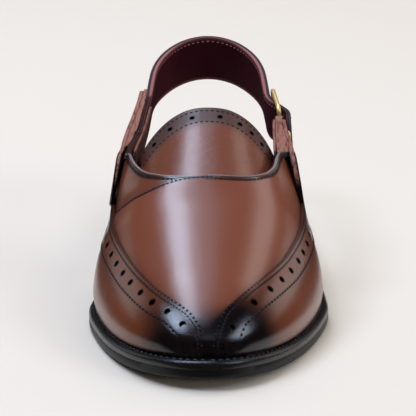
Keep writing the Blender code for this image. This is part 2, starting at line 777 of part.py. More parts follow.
def make_rivet(finish):
    """Turned rivet with a domed head on each face of the lateral strap."""
    half = (RIVET_OUTER - RIVET_INNER) / 2
    shoulder = (RIVET_HEAD * RIVET_SHOULDER, half + RIVET_DOME * RIVET_SHOULDER_RISE)
    head = [(0.0, half + RIVET_DOME), shoulder, (RIVET_HEAD, half)]
    profile = head + [(RIVET_SHAFT, half), (RIVET_SHAFT, -half)]
    profile += [(radius, -height) for radius, height in reversed(head)]
    work = bmesh.new()
    verts = [work.verts.new(Vector((radius, 0.0, height)) * MM) for radius, height in profile]
    for first, second in zip(verts, verts[1:]):
        work.edges.new((first, second))
    made = finish_mesh("strap_rivet", work, finish)
    turn = made.modifiers.new("turn", "SCREW")
    turn.steps = RIVET_SIDES
    turn.render_steps = RIVET_SIDES
    turn.use_merge_vertices = True
    turn.merge_threshold = RIVET_MERGE * MM
    made.location = rivet_place()
    made.rotation_euler = (0, math.pi / 2, 0)
    return made


def add_cutter(name, mesh):
    made = bpy.data.objects.new(name, mesh)
    made.hide_render = True
    made.display_type = "WIRE"
    cutters.objects.link(made)
    return made


def cut(target, cutter):
    opening = target.modifiers.new(cutter.name, "BOOLEAN")
    opening.operation = "DIFFERENCE"
    opening.object = cutter


for leftover in list(bpy.data.objects):
    bpy.data.objects.remove(leftover)
parts = bpy.data.collections.new("kabuli_sandal")
cutters = bpy.data.collections.new("cutters")
for collection in (parts, cutters):
    bpy.context.scene.collection.children.link(collection)

brown = material("brown_leather", (0.16, 0.055, 0.035), 0.35)
black = material("black_sole", (0.010, 0.010, 0.012), 0.40)
footbed = material("footbed_leather", (0.06, 0.010, 0.014), 0.55)
brass = material("brass", (0.83, 0.60, 0.26), 0.25, 1.0)

make_outsole(black)
make_heel_block(black)
make_welt(black)
make_insole(footbed)
make_upper(brown)
make_tongue(brown)
make_wing("medial", brown)
make_wing("lateral", brown)
make_side_strap("side_strap_medial", MEDIAL_STRAP, MEDIAL_LAYERS, -1, brown)
side_strap = make_side_strap("side_strap_lateral", LATERAL_STRAP, LATERAL_LAYERS, 1, brown)
heel_strap = make_heel_strap(brown)
slot = make_slot_cutter()
cut(side_strap, slot)
cut(heel_strap, slot)
cut(side_strap, make_rivet_cutter())
make_buckle_frame(brass)
make_buckle_prong(brass)
make_rivet(brass)
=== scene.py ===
import math

import bmesh
import bpy
import numpy as np
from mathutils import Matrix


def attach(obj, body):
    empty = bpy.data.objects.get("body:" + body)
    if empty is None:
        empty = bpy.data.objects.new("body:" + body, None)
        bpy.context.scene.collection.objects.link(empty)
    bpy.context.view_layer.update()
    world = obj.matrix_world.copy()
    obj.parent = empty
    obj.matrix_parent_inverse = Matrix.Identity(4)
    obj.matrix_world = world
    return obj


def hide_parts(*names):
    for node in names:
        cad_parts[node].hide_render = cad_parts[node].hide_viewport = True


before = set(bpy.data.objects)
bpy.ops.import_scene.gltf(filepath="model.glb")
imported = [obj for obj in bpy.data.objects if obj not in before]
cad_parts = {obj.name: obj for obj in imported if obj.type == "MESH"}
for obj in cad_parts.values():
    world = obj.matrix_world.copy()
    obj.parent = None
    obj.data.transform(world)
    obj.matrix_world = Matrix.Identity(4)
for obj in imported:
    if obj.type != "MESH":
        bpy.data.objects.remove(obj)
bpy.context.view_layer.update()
mm = 0.001
print("frame loaded:", len(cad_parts), "nodes")

# The shoe's own sizes, in millimetres. A station is a distance back from the toe tip, and +x is the outer side.
sides = (("medial", -1), ("lateral", 1))
last = dict(length=290.0, shift=0.4, ball=95.0, heelRound=38.0)
toeCurve = dict(medial=(1.6, 2.2), lateral=(1.4, 2.05))  # power and root of the rounding, fuller on the inner side
sole = dict(
    spring=5.0, springEnd=65.0, shank=122.0, breast=208.0, rise=17.0, outsole=4.0, gap=0.3, welt=3.5,
    insetStart=135.0, insetReach=70.0,
)
solePlan = dict(
    station=[0, 60, 92, 125, 155, 185, 215, 245, 290],
    medial=[53.0, 53.0, 53.0, 47.5, 39.5, 35.0, 34.8, 36.5, 36.8],
    lateral=[53.6, 53.6, 53.8, 52.0, 47.5, 42.0, 38.5, 37.4, 37.2],
)
vampForm = dict(
    tip=5.0, span=160.0, lift=0.5, toeWall=33.0, toeRound=(3.0, 2.2), tuck=1.8, tuckHeight=9.0, tuckCentre=60.0,
    tuckReach=50.0, flare=(0.0, 3.0), flareStart=108.0, flareReach=22.0, flareRise=0.5, flareFade=0.35, flareSide=0.3,
)
vampTable = dict(
    station=[5, 30, 60, 90, 110, 132, 150, 170],
    medial=[50.0, 50.0, 50.0, 49.8, 47.4, 44.4, 41.0, 38.0],
    lateral=[50.4, 50.4, 50.4, 50.0, 47.9, 44.6, 42.0, 40.0],
    ridge=[25.5, 36.0, 47.0, 58.0, 66.0, 75.5, 83.0, 90.0],
    square=[2.3, 2.4, 2.5, 2.7, 3.0, 4.0, 4.0, 4.0],
    lean=[0.00, 0.00, 0.02, 0.04, 0.07, 0.11, 0.11, 0.11],
)
rearEdge = dict(
    degrees=[0, 20, 36, 44, 47, 50, 52, 54, 58, 66, 76, 90],
    medial=[157.0, 148.0, 139.5, 135.0, 131.5, 123.5, 119.0, 115.8, 111.8, 107.3, 104.6, 103.7],
    lateral=[163.0, 151.0, 140.5, 136.0, 133.0, 126.3, 120.5, 116.8, 111.8, 106.6, 104.2, 103.7],
)


def along(table, column, place):  # smooth value of one column at places in the table's first column
    keys = np.array(next(iter(table.values())), float)
    values = np.array(table[column], float)
    rates = np.diff(values) / np.diff(keys)
    slopes = np.concatenate([rates[:1], (values[2:] - values[:-2]) / (keys[2:] - keys[:-2]), rates[-1:]])
    place = np.clip(np.asarray(place, float), keys[0], keys[-1])
    i = np.clip(np.searchsorted(keys, place) - 1, 0, len(keys) - 2)
    span = keys[i + 1] - keys[i]
    t = (place - keys[i]) / span
    level = (2 * t**3 - 3 * t**2 + 1) * values[i] + (3 * t**2 - 2 * t**3) * values[i + 1]
    bend = (t**3 - 2 * t**2 + t) * slopes[i] + (t**3 - t**2) * slopes[i + 1]
    return level + span * bend


def ease(t):
    t = np.clip(t, 0.0, 1.0)
    return t * t * (3 - 2 * t)


def fade(place, start, reach):  # 1 up to the start, then softly down to 0
    return 1 - ease((place - start) / reach)


def bell(distance, wide, power=2):
    return np.exp(-((distance / wide) ** power))


def rounded(distance, reach, power=2.0, root=2.0):
    t = np.clip(distance / reach, 0.0, 1.0)
    return (1 - (1 - t) ** power) ** (1 / root)


def unit(vectors):
    return vectors / np.maximum(np.linalg.norm(vectors, axis=-1, keepdims=True), 1e-12)


def raised(base, normal, lift):
    return base + normal * np.asarray(lift, float)[..., None]


def arch(degrees, square):  # across and rise of a squarish arch
    across, rise = np.cos(np.radians(degrees)), np.sin(np.radians(degrees))
    reach = (np.abs(across) ** square + np.abs(rise) ** square) ** (-1 / square)
    return across * reach, rise * reach


def soleBottom(station):
    spring = sole["spring"] * np.clip(1 - station / sole["springEnd"], 0, 1) ** 2
    return spring + sole["rise"] * ease((station - sole["shank"]) / (sole["breast"] - sole["shank"]))


def weltTop(station):
    return soleBottom(station) + sole["outsole"] + sole["gap"] + sole["welt"]


def soleHalf(station, side, toeInset, heelInset):
    inset = toeInset + (heelInset - toeInset) * ease((station - sole["insetStart"]) / sole["insetReach"])
    toe = rounded(station - toeInset, last["ball"] - toeInset, *toeCurve[side])
    heel = rounded(last["length"] - heelInset - station, last["heelRound"] - heelInset)
    return (along(solePlan, side, station) - inset) * toe * heel


def vampPoint(station, degrees):  # on the upper's outer face, 0 degrees at the lateral welt, 180 at the medial
    form, outer = vampForm, degrees <= 90
    foot = weltTop(station) + form["lift"]
    ahead, full = station - form["tip"], last["ball"] - form["tip"]
    halves = [along(vampTable, s, station) * rounded(ahead, full, *toeCurve[s]) for s in ("lateral", "medial")]
    height = (along(vampTable, "ridge", station) - foot) * rounded(ahead, form["toeWall"], *form["toeRound"])
    across, rise = arch(degrees, along(vampTable, "square", station))
    x = np.where(outer, *halves) * across * (1 - along(vampTable, "lean", station) * rise)
    flare = ease((station - form["flareStart"]) / form["flareReach"])
    flare = flare * ease((rise - form["flareRise"]) / form["flareFade"]) * ease(np.abs(across) / form["flareSide"])
    x = x + flare * np.where(outer, *form["flare"]) * np.sign(across)  # the inner ear stands out to meet its strap
    above = height * rise
    pull = form["tuck"] / form["tuckReach"] * np.maximum(0, 1 - above / form["tuckHeight"]) ** 2
    moved = form["tuckCentre"] + (station - form["tuckCentre"]) * (1 - pull)
    return np.stack([x * (1 - pull), moved, weltTop(moved) + form["lift"] + above], -1)


def flatPlace(across, up):  # station and angle of a place on the upper laid out flat, toe tip at 0, 0
    return vampForm["tip"] + vampForm["span"] * (across**2 + up**2), np.degrees(np.arctan2(up, across))


def flatReach(station):
    return np.sqrt(np.maximum(station - vampForm["tip"], 0) / vampForm["span"])


def skinNormal(across, up):
    station, degrees = flatPlace(across, up)
    step = np.minimum(0.2, (station - vampForm["tip"]) / 2)
    ahead = vampPoint(station + step, degrees) - vampPoint(station - step, degrees)
    rise = vampPoint(station, np.minimum(degrees + 0.5, 180)) - vampPoint(station, np.maximum(degrees - 0.5, 0))
    normal = unit(np.cross(ahead, rise))
    normal[station < vampForm["tip"] + 0.02] = (0, -1, 0)
    return normal


def skin(across, up, lift=0.0):  # point on the upper, lifted off its outer face
    across, up = np.broadcast_arrays(np.asarray(across, float), np.asarray(up, float))
    return raised(vampPoint(*flatPlace(across, up)), skinNormal(across, up), lift)


def slide(across, up, heading, distance, steps=8):  # walks over the upper from its places along a heading
    eps = 1e-4
    for _ in range(steps):
        here = skin(across, up)
        sideways = (skin(across + eps, up) - here) / eps
        upward = (skin(across, up + eps) - here) / eps
        aa, bb, ab = (sideways**2).sum(-1), (upward**2).sum(-1), (sideways * upward).sum(-1)
        da, db = (sideways * heading).sum(-1), (upward * heading).sum(-1)
        spread = aa * bb - ab**2
        goAcross, goUp = (bb * da - ab * db) / spread, (aa * db - ab * da) / spread
        heading = unit(sideways * goAcross[:, None] + upward * goUp[:, None])
        across, up = across + goAcross * distance / steps, up + goUp * distance / steps
    return across, up


def evenly(points, pitch, margin=0.0):  # places along a line of points, a pitch apart
    runs = np.concatenate([[0], np.cumsum(np.linalg.norm(np.diff(points, axis=0), axis=1))])
    count = max(int(round((runs[-1] - 2 * margin) / pitch)), 1)
    return np.interp(np.linspace(margin, runs[-1] - margin, count + 1), runs, np.arange(len(points)))


def pick(values, places):  # values of a line at fractional places along it
    index = np.arange(len(values))
    return np.stack([np.interp(places, index, column) for column in np.asarray(values, float).T], -1)


def nearest(points, line):  # distance from each point to a line of points
    flat = points.reshape(-1, 3)
    found = [np.sqrt(((part[:, None] - line[None]) ** 2).sum(-1)).min(1) for part in np.array_split(flat, 40)]
    return np.concatenate(found).reshape(points.shape[:-1])


def fromPlaces(points, places):  # distance to a line of flat places
    return nearest(points, skin(*places.T))


def toWorld(points):
    return (np.asarray(points, float) - (last["shift"], last["length"] / 2, 0)) * mm


# Mesh building. Each piece rides on the frame, takes a material slot and stands for its CAD nodes.


def buildPiece(name, points, faces, finish, nodes, sharp, masks=None, bevel=0.0):
    mesh = bpy.data.meshes.new(name)
    mesh.from_pydata(toWorld(points).tolist(), [], [list(face) for face in faces])
    for title, values in (masks or {}).items():
        layer = mesh.attributes.new(title, "FLOAT", "POINT")
        layer.data.foreach_set("value", np.asarray(values, np.float32).ravel())
    work = bmesh.new()
    work.from_mesh(mesh)
    bmesh.ops.remove_doubles(work, verts=work.verts, dist=2e-6)
    bmesh.ops.dissolve_degenerate(work, edges=work.edges, dist=1e-6)
    bmesh.ops.recalc_face_normals(work, faces=work.faces)
    work.to_mesh(mesh)
    work.free()
    mesh.shade_smooth()
    mesh.set_sharp_from_angle(angle=math.radians(sharp))
    mesh.materials.append(finish)
    piece = bpy.data.objects.new(name, mesh)
    bpy.context.scene.collection.objects.link(piece)
    if bevel:
        soften = piece.modifiers.new("softEdge", "BEVEL")
        soften.width = bevel * mm
        soften.segments = 3
        soften.limit_method = "ANGLE"
        soften.angle_limit = math.radians(50)
        soften.harden_normals = True
    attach(piece, "root")
    if nodes:
        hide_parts(*nodes)


def shellFaces(rows, columns, keep):  # faces of a wall between two like grids, with its rims
    index = np.arange(rows * columns).reshape(rows, columns)
    a, b, c, d = index[:-1, :-1], index[:-1, 1:], index[1:, 1:], index[1:, :-1]
    far = rows * columns
    outer = np.stack([a, b, c, d], -1)[keep]
    faces = [outer, outer[:, ::-1] + far]
    padded = np.pad(keep, 1)
    beyonds = (padded[:-2, 1:-1], padded[1:-1, 2:], padded[2:, 1:-1], padded[1:-1, :-2])
    for first, second, beyond in zip((a, b, c, d), (b, c, d, a), beyonds):
        rim = keep & ~beyond
        faces.append(np.stack([second[rim], first[rim], first[rim] + far, second[rim] + far], -1))
    return np.concatenate(faces).tolist()


def shellPiece(name, outer, inner, finish, masks, bevel, nodes=(), keep=None):
    rows, columns = outer.shape[:2]
    if keep is None:
        keep = np.ones((rows - 1, columns - 1), bool)
    points = np.concatenate([outer.reshape(-1, 3), inner.reshape(-1, 3)])
    doubled = {title: np.tile(values.ravel(), 2) for title, values in masks.items()}
    faces = shellFaces(rows, columns, keep)
    buildPiece(name, points, faces, finish, nodes, sharp=50.0, masks=doubled, bevel=bevel)


def loopFaces(count, size, closed=False):  # skin over a row of closed loops, capped unless the row is a ring
    faces = []
    for k in range(count if closed else count - 1):
        here, there = k * size, (k + 1) % count * size
        faces += [(here + i, here + (i + 1) % size, there + (i + 1) % size, there + i) for i in range(size)]
    if not closed:
        faces += [tuple(range(size))[::-1], tuple(range((count - 1) * size, count * size))]
    return faces


strapRing = dict(  # a strap's section: 24 points round it, from its outer face's lower corner
    inkSteps=(0.8, 1.76), inkMarks=(0.6, 0.0, 0.0, 0.6), edgeShares=(0.3, 0.7), back=slice(13, 20),
    lips=[6, 7, 8, 9, 12, 13, 14], top=[10, 11], topShare=0.35, endScale=0.93, endOut=0.35,
)


def softLoops(corners, radius):  # four-cornered sections with round corners, and their ink mask
    loops, marks = [], []
    near, far = strapRing["inkSteps"]
    for k in range(4):
        before, here, after = corners[:, k - 1], corners[:, k], corners[:, (k + 1) % 4]
        back, ahead = unit(before - here), unit(after - here)
        gaps = [np.linalg.norm(p - here, axis=1, keepdims=True) for p in (before, after)]
        r = np.minimum(radius, 0.45 * np.minimum(*gaps))
        start, end = here + back * r, here + ahead * r
        loops += [start, 0.25 * start + 0.5 * here + 0.25 * end, end]
        marks += [1.0, 1.0, 1.0]
        if k % 2 == 0:  # the wide faces get points beside their edges
            loops += [here + ahead * near, here + ahead * far, after - ahead * far, after - ahead * near]
            marks += strapRing["inkMarks"]
        else:  # and the cut edges get two between their corners
            loops += [here + ahead * (r + share * (gaps[1] - 2 * r)) for share in strapRing["edgeShares"]]
            marks += [1.0, 1.0]
    return np.stack(loops, 1), np.tile(np.array(marks), (len(corners), 1))


def strapPiece(name, corners, finish, radius, dark=0.0, backDark=0.0, lipDark=0.0, ink=1.0, nodes=()):
    loops, marks = softLoops(corners, radius)
    wearAndShade = np.zeros(marks.shape) + np.reshape(dark, (-1, 1))
    # dark blackens whole sections, for painted shade and inked ends; backDark paints shade on a ply's inner face;
    # lipDark inks the corners of its cut edges
    for part, darker in (("back", backDark), ("lips", lipDark), ("top", strapRing["topShare"] * lipDark)):
        spots = strapRing[part]
        wearAndShade[:, spots] = np.maximum(wearAndShade[:, spots], np.reshape(darker, (-1, 1)))
    middle = loops.mean(1, keepdims=True)
    spread = (loops - middle) * strapRing["endScale"]
    out = unit(np.diff(middle, axis=0)) * strapRing["endOut"]
    loops = np.concatenate([middle[:1] + spread[:1] - out[:1], loops, middle[-1:] + spread[-1:] + out[-1:]])
    marks = np.pad(marks, ((1, 1), (0, 0)), constant_values=1.0) * ink
    wearAndShade = np.pad(wearAndShade, ((1, 1), (0, 0)), mode="edge")
    masks = dict(ink=marks * (1 - wearAndShade), wearAndShade=wearAndShade)
    faces = loopFaces(len(loops), loops.shape[1])
    buildPiece(name, loops.reshape(-1, 3), faces, finish, nodes, sharp=60.0, masks=masks)


def tubePiece(name, line, radius, finish, count, nodes=(), closed=False, facing=(1.0, 0.0, 0.0)):
    ahead = unit(np.roll(line, -1, 0) - np.roll(line, 1, 0)) if closed else unit(np.gradient(line, axis=0))
    sideways = unit(np.cross(ahead, facing))
    up = np.cross(sideways, ahead)
    turn = np.linspace(0, 2 * np.pi, count, endpoint=False)[None, :, None]
    rings = line[:, None] + radius * (np.cos(turn) * sideways[:, None] + np.sin(turn) * up[:, None])
    buildPiece(name, rings.reshape(-1, 3), loopFaces(len(line), count, closed), finish, nodes, sharp=60.0)


# Stitches: short round-ended threads along a line, joined into one mesh

thread = dict(around=8, rings=6, tip=0.12, dip=0.9, margin=0.5, look=0.4)


def stitchPiece(name, lines, look, finish):  # each line comes with its normals
    turn = np.linspace(0, 2 * np.pi, thread["around"], endpoint=False)[:, None]
    share = np.linspace(-1, 1, thread["rings"])[:, None, None]
    fat = np.maximum(1 - np.abs(share) ** 3, thread["tip"])
    points = []
    for line, normals, *_ in lines:
        places = evenly(line, look["pitch"], thread["margin"])
        middles = (places[1:] + places[:-1]) / 2
        up = unit(pick(normals, middles))
        later, earlier = (pick(line, middles + step) for step in (thread["look"], -thread["look"]))
        ahead = unit(later - earlier)
        run = unit(ahead + unit(np.cross(up, ahead)) * look["slant"])
        centre, up, run = (vectors[:, None, None] for vectors in (pick(line, middles), up, run))
        ring = fat * (np.cos(turn) * np.cross(up, run) * look["width"] / 2 + np.sin(turn) * up * look["rise"])
        lift = look["lift"] - look["rise"] * thread["dip"] * np.abs(share) ** 3
        points.append((centre + run * share * look["length"] / 2 + ring + up * lift).reshape(-1, 3))
    points = np.concatenate(points)
    one = loopFaces(thread["rings"], thread["around"])
    starts = range(0, len(points), thread["rings"] * thread["around"])
    faces = [tuple(i + start for i in face) for start in starts for face in one]
    buildPiece(name, points, faces, finish, (), sharp=80.0)


# Shader groups


def newGroup(name, inputs, outputs):  # a group, and the sockets to wire inside it
    group = bpy.data.node_groups.new(name, "ShaderNodeTree")
    for way, sockets in (("INPUT", inputs), ("OUTPUT", outputs)):
        for title, kind in sockets.items():
            group.interface.new_socket(title, in_out=way, socket_type="NodeSocket" + kind)
    return group, group.nodes.new("NodeGroupInput").outputs, group.nodes.new("NodeGroupOutput").inputs


def feed(tree, socket, value):  # links another socket or sets a plain value
    if isinstance(value, bpy.types.NodeSocket):
        tree.links.new(value, socket)
    else:
        socket.default_value = value


def addNode(tree, kind, values=None, **settings):
    node = tree.nodes.new(kind)
    for key, value in settings.items():
        setattr(node, key, value)
    for key, value in (values or {}).items():
        feed(tree, node.inputs[key], value)
    return node


def mathNode(tree, operation, first, second, clamp=False):
    values = {0: first, 1: second}
    return addNode(tree, "ShaderNodeMath", values, operation=operation, use_clamp=clamp).outputs[0]


def mixNode(tree, share, first, second):
    values = {"Factor": share, 6: first, 7: second}
    return addNode(tree, "ShaderNodeMix", values, data_type="RGBA").outputs[2]


def noiseNode(tree, place, scale, **values):
    return addNode(tree, "ShaderNodeTexNoise", dict(values, Vector=place, Scale=scale)).outputs


def makeHideGrain():  # pores and fine wrinkles of smooth calf, and slow clouding of its dye
    inputs = dict(Scale="Float", Cloud="Float", Stretch="Vector")
    group, get, out = newGroup("hideGrain", inputs, dict(Height="Float", Tone="Float"))
    spot = addNode(group, "ShaderNodeTexCoord").outputs["Object"]
    warp = noiseNode(group, spot, 500.0, Detail=2.0)["Color"]
    moved = {0: warp, 1: (0.0006, 0.0006, 0.0006), 2: spot}
    moved = addNode(group, "ShaderNodeVectorMath", moved, operation="MULTIPLY_ADD").outputs[0]
    cells = {"Vector": moved, "Scale": get["Scale"]}
    cells = addNode(group, "ShaderNodeTexVoronoi", cells, feature="DISTANCE_TO_EDGE").outputs["Distance"]
    pores = noiseNode(group, spot, mathNode(group, "MULTIPLY", get["Scale"], 1.7), Detail=3.0)["Fac"]
    ridge = mathNode(group, "MINIMUM", mathNode(group, "MULTIPLY", cells, 3.5), 0.6)
    feed(group, out["Height"], mathNode(group, "ADD", ridge, mathNode(group, "MULTIPLY", pores, 0.5)))
    drawn = {0: spot, 1: get["Stretch"]}
    drawn = addNode(group, "ShaderNodeVectorMath", drawn, operation="MULTIPLY").outputs[0]
    feed(group, out["Tone"], noiseNode(group, drawn, get["Cloud"], Detail=4.0, Roughness=0.6)["Fac"])
    return group


def makeBurnishAndShade():  # dye, dark where rubbed along seams and toe and under painted shade, warm where it is rubbed thin, inked on cut edges
    inputs = {title: "Color" for title in ("Dye", "Dark", "Warm", "Ink")}
    inputs.update(Rubbed="Float", Thin="Float", Cut="Float", Tone="Float", Cloudy="Float")
    inputs.update(Smooth="Float", Worn="Float", Frayed="Float")
    group, get, out = newGroup("burnishAndShade", inputs, dict(Colour="Color", Roughness="Float"))
    offset = mathNode(group, "SUBTRACT", get["Tone"], 0.5)
    drift = mathNode(group, "MULTIPLY", offset, get["Cloudy"])
    swing = mathNode(group, "ADD", drift, 1.0)
    wearAndShade = mathNode(group, "MULTIPLY", get["Rubbed"], swing, True)
    thin = mathNode(group, "ADD", mathNode(group, "MULTIPLY", get["Thin"], swing), drift, True)
    dark = mixNode(group, wearAndShade, mixNode(group, thin, get["Dye"], get["Warm"]), get["Dark"])
    frayed = mathNode(group, "ADD", mathNode(group, "MULTIPLY", offset, get["Frayed"]), 1.0)
    inked = mixNode(group, mathNode(group, "MULTIPLY", get["Cut"], frayed, True), dark, get["Ink"])
    feed(group, out["Colour"], inked)
    gloss = mathNode(group, "MULTIPLY", wearAndShade, mathNode(group, "SUBTRACT", get["Worn"], get["Smooth"]))
    rough = mathNode(group, "ADD", get["Smooth"], gloss)
    feed(group, out["Roughness"], mathNode(group, "ADD", rough, mathNode(group, "MULTIPLY", drift, 0.25), True))
    return group


def makeFineNoise():  # small unevenness for rubber, thread and metal
    inputs = dict(Scale="Float", Low="Float", High="Float")
    group, get, out = newGroup("fineNoise", inputs, dict(Height="Float", Roughness="Float"))
    spot = addNode(group, "ShaderNodeTexCoord").outputs["Object"]
    noise = noiseNode(group, spot, get["Scale"], Detail=5.0, Roughness=0.6)["Fac"]
    feed(group, out["Height"], noise)
    span = mathNode(group, "SUBTRACT", get["High"], get["Low"])
    feed(group, out["Roughness"], mathNode(group, "ADD", get["Low"], mathNode(group, "MULTIPLY", noise, span)))
    return group


hideGrain, burnishAndShade, fineNoise = makeHideGrain(), makeBurnishAndShade(), makeFineNoise()


def placeGroup(tree, group, values):
    return addNode(tree, "ShaderNodeGroup", values, node_tree=group).outputs


def startMaterial(name):
    material = bpy.data.materials.new(name)
    material.use_nodes = True
    return material, material.node_tree


def shade(tree, look, height, values):
    bump = {"Strength": look["bump"], "Distance": look["depth"] * mm, "Height": height}
    values["Normal"] = addNode(tree, "ShaderNodeBump", bump).outputs["Normal"]
    values["Specular IOR Level"] = look["specular"]
    for key, value in values.items():
        feed(tree, tree.nodes["Principled BSDF"].inputs[key], value)


def leather(name, look):
    material, tree = startMaterial(name)
    weave = {"Scale": look["grain"], "Cloud": look["cloud"], "Stretch": look["stretch"]}
    grain = placeGroup(tree, hideGrain, weave)
    tone = {key: (*look[key.lower()], 1.0) for key in ("Dye", "Dark", "Warm", "Ink")}
    tone.update({key: look[key.lower()] for key in ("Cloudy", "Smooth", "Worn", "Frayed")}, Tone=grain["Tone"])
    for socket, title in (("Rubbed", "wearAndShade"), ("Thin", "thin"), ("Cut", "ink")):
        tone[socket] = addNode(tree, "ShaderNodeAttribute", attribute_name=title).outputs["Fac"]
    dye = placeGroup(tree, burnishAndShade, tone)
    shade(tree, look, grain["Height"], {
        "Base Color": dye["Colour"], "Roughness": dye["Roughness"],
        "Coat Weight": look["coat"], "Coat Roughness": look["coatRough"],
    })
    return material


def plain(name, look):  # thread, rubber, metal and floor
    material, tree = startMaterial(name)
    noise = placeGroup(tree, fineNoise, {"Scale": look["scale"], "Low": look["low"], "High": look["high"]})
    colour = (*look["colour"], 1.0)
    values = {"Base Color": colour, "Roughness": noise["Roughness"], "Metallic": look["metallic"]}
    shade(tree, look, noise["Height"], values)
    return material


calf = dict(
    dye=(0.165, 0.046, 0.023), dark=(0.0025, 0.001, 0.0015), warm=(0.190, 0.045, 0.008), ink=(0.006, 0.004, 0.005),
    cloudy=0.30, smooth=0.235, worn=0.17, grain=1300.0, bump=0.1, depth=0.25, coat=0.08, coatRough=0.12,
    specular=0.5, frayed=0.0, cloud=45.0, stretch=(1.0, 1.0, 1.0),
)
calfLeather = leather("calfLeather", calf)
# pale grey dye that paints the highlight on the rolled throat edge
pipingHighlightLeather = leather("pipingHighlightLeather", dict(calf, dye=(0.17, 0.125, 0.12), smooth=0.3, cloudy=0.6, bump=0.07))
tongueLeather = leather("tongueLeather", dict(calf, bump=0.12, worn=0.6))
strapLook = dict(
    calf, dye=(0.150, 0.050, 0.036), ink=(0.035, 0.030, 0.036), bump=0.25, smooth=0.45, coat=0.0, specular=0.15
)
heelLeather = leather("heelLeather", strapLook)
strapLeather = leather("strapLeather", dict(  # raw edges show their fibres
    strapLook, dye=(0.105, 0.034, 0.024), ink=(0.265, 0.115, 0.082), frayed=7.0, cloud=850.0, stretch=(1.0, 0.1, 1.0)
))
wineLining = dict(
    calf, dye=(0.042, 0.004, 0.008), dark=(0.014, 0.002, 0.004), warm=(0.1, 0.02, 0.02), ink=(0.030, 0.022, 0.026),
    smooth=0.62, worn=0.6, grain=1100.0, bump=0.14, coat=0.0, coatRough=0.3, specular=0.1,
)
liningLeather = leather("liningLeather", wineLining)
strapLining = leather("strapLining", dict(wineLining, ink=(0.27, 0.10, 0.095)))  # with a bare, paler cut edge
footbedLeather = leather("footbedLeather", dict(wineLining, dye=(0.085, 0.018, 0.020), smooth=0.48))
weltBlack = leather("weltBlack", dict(
    calf, dye=(0.005, 0.005, 0.006), dark=(0.004, 0.004, 0.005), warm=(0.012, 0.011, 0.010), ink=(0.004, 0.004, 0.005),
    smooth=0.27, worn=0.24, grain=1600.0, bump=0.16, coat=0.0,
))
waxed = dict(bump=0.4, depth=0.15, scale=2600.0, metallic=0.0, specular=0.5)
darkThread = plain("darkThread", dict(waxed, colour=(0.007, 0.004, 0.005), low=0.45, high=0.7, specular=0.2))
blackThread = plain("blackThread", dict(waxed, colour=(0.010, 0.010, 0.012), low=0.25, high=0.45))
roseThread = plain("roseThread", dict(waxed, colour=(0.24, 0.09, 0.085), low=0.5, high=0.75))
soleBlack = plain("soleBlack", dict(
    waxed, colour=(0.005, 0.005, 0.005), bump=0.14, scale=700.0, low=0.34, high=0.5, specular=0.25
))
brass = plain("brass", dict(
    waxed, colour=(0.98, 0.70, 0.28), metallic=0.78, bump=0.03, depth=0.05, scale=1500.0, low=0.34, high=0.5
))
print("materials ready")

# Wings: proud overlays from toe to waist, with a punched band along their edge

wing = dict(
    front=0.02, low=0.02, setback=2.0, gap=0.5, thick=1.4, columns=320, rows=90, rowBias=1.5, columnBias=1.15,
    edge=0.0, edgeDots=0.45, dotSink=0.12, edgeStitch=2.1, holeRow=5.6, bandStitch=10.0, bandLow=0.115,
    holeRadius=1.5, groove=0.03, bevel=0.3, lineBias=1.5, linePitch=0.8, coverStart=0.012, coverReach=0.02,
)
wingEdge = dict(
    across=[0.02, 0.028, 0.04, 0.077, 0.128, 0.217, 0.31, 0.415, 0.495, 0.58, 0.75, 0.94],
    medial=[0.125, 0.183, 0.213, 0.259, 0.291, 0.327, 0.375, 0.420, 0.447, 0.465, 0.445, 0.345],
    lateral=[0.10, 0.137, 0.183, 0.262, 0.301, 0.351, 0.392, 0.425, 0.455, 0.478, 0.450, 0.345],
)
wingHoles = dict(  # where the holes are, across
    medial=[0.108, 0.178, 0.251, 0.315, 0.378, 0.432, 0.483, 0.530, 0.578, 0.625, 0.670, 0.712, 0.752],
    lateral=[0.113, 0.222, 0.310, 0.378, 0.439, 0.492, 0.532, 0.572, 0.614, 0.656, 0.697, 0.736, 0.773],
)
toeHoles = dict(medial=(0.047, 0.088), lateral=(0.062, 0.082))  # the lowest holes, across and up
wingInk = dict(edgeStitch=(0.95, 0.45), bandStitch=(0.55, 0.5), edge=(0.8, 0.4))  # strength and width of the lines
wingWearAndShade = dict(cloud=0.45, band=0.34, bandFade=7.0, foot=0.5, footHigh=3.5)
edgeThread = dict(pitch=1.75, length=1.65, width=0.65, rise=0.24, lift=-0.02, slant=0.0)
bandThread = dict(pitch=2.6, length=1.9, width=1.05, rise=0.38, lift=0.02, slant=0.1)
edgeDot = dict(pitch=2.3, length=1.3, width=1.2, rise=0.42, lift=0.05, slant=0.0)
toeBurnish = dict(centre=(5.0, 6.0, 17.0), squash=(0.8, 1.25, 1.1), full=19.0, fade=24.0)
toeCloud = dict(centre=(6.0, 6.0, 12.0), squash=(0.8, 1.25, 1.1), full=24.0, fade=34.0)
tipBurnish = dict(centre=(1.0, 5.0, 14.0), squash=(1.0, 0.8, 0.8), full=9.0, fade=13.0)
thinPatches = [((-30.0, 24.0, 20.0), 16.0, 0.9), ((36.0, 28.0, 18.0), 14.0, 0.7)]
grooveWide, punchDeep, punchInk = 0.6, 3.0, 0.3


def toeShade(points, patch):  # how dark the toe is rubbed
    reach = np.linalg.norm((points - np.array(patch["centre"])) * patch["squash"], axis=-1)
    return fade(reach, patch["full"], patch["fade"])


def thinShade(points):  # where the dye is rubbed thin
    shades = []
    for centre, radius, share in thinPatches:
        shades.append(share * np.exp(-((points - np.array(centre)) ** 2).sum(-1) / radius**2))
    return np.maximum(*shades)


def wingBack(side, share):  # how far across each row reaches, to just ahead of the rear edge
    near, far = np.full(share.shape, wing["front"]), np.full(share.shape, 1.0)
    for _ in range(40):
        across = (near + far) / 2
        up = wing["low"] + (along(wingEdge, side, across) - wing["low"]) * share
        station, degrees = flatPlace(across, up)
        inside = station < along(rearEdge, side, degrees) - wing["setback"]
        near, far = np.where(inside, across, near), np.where(inside, far, across)
    return near


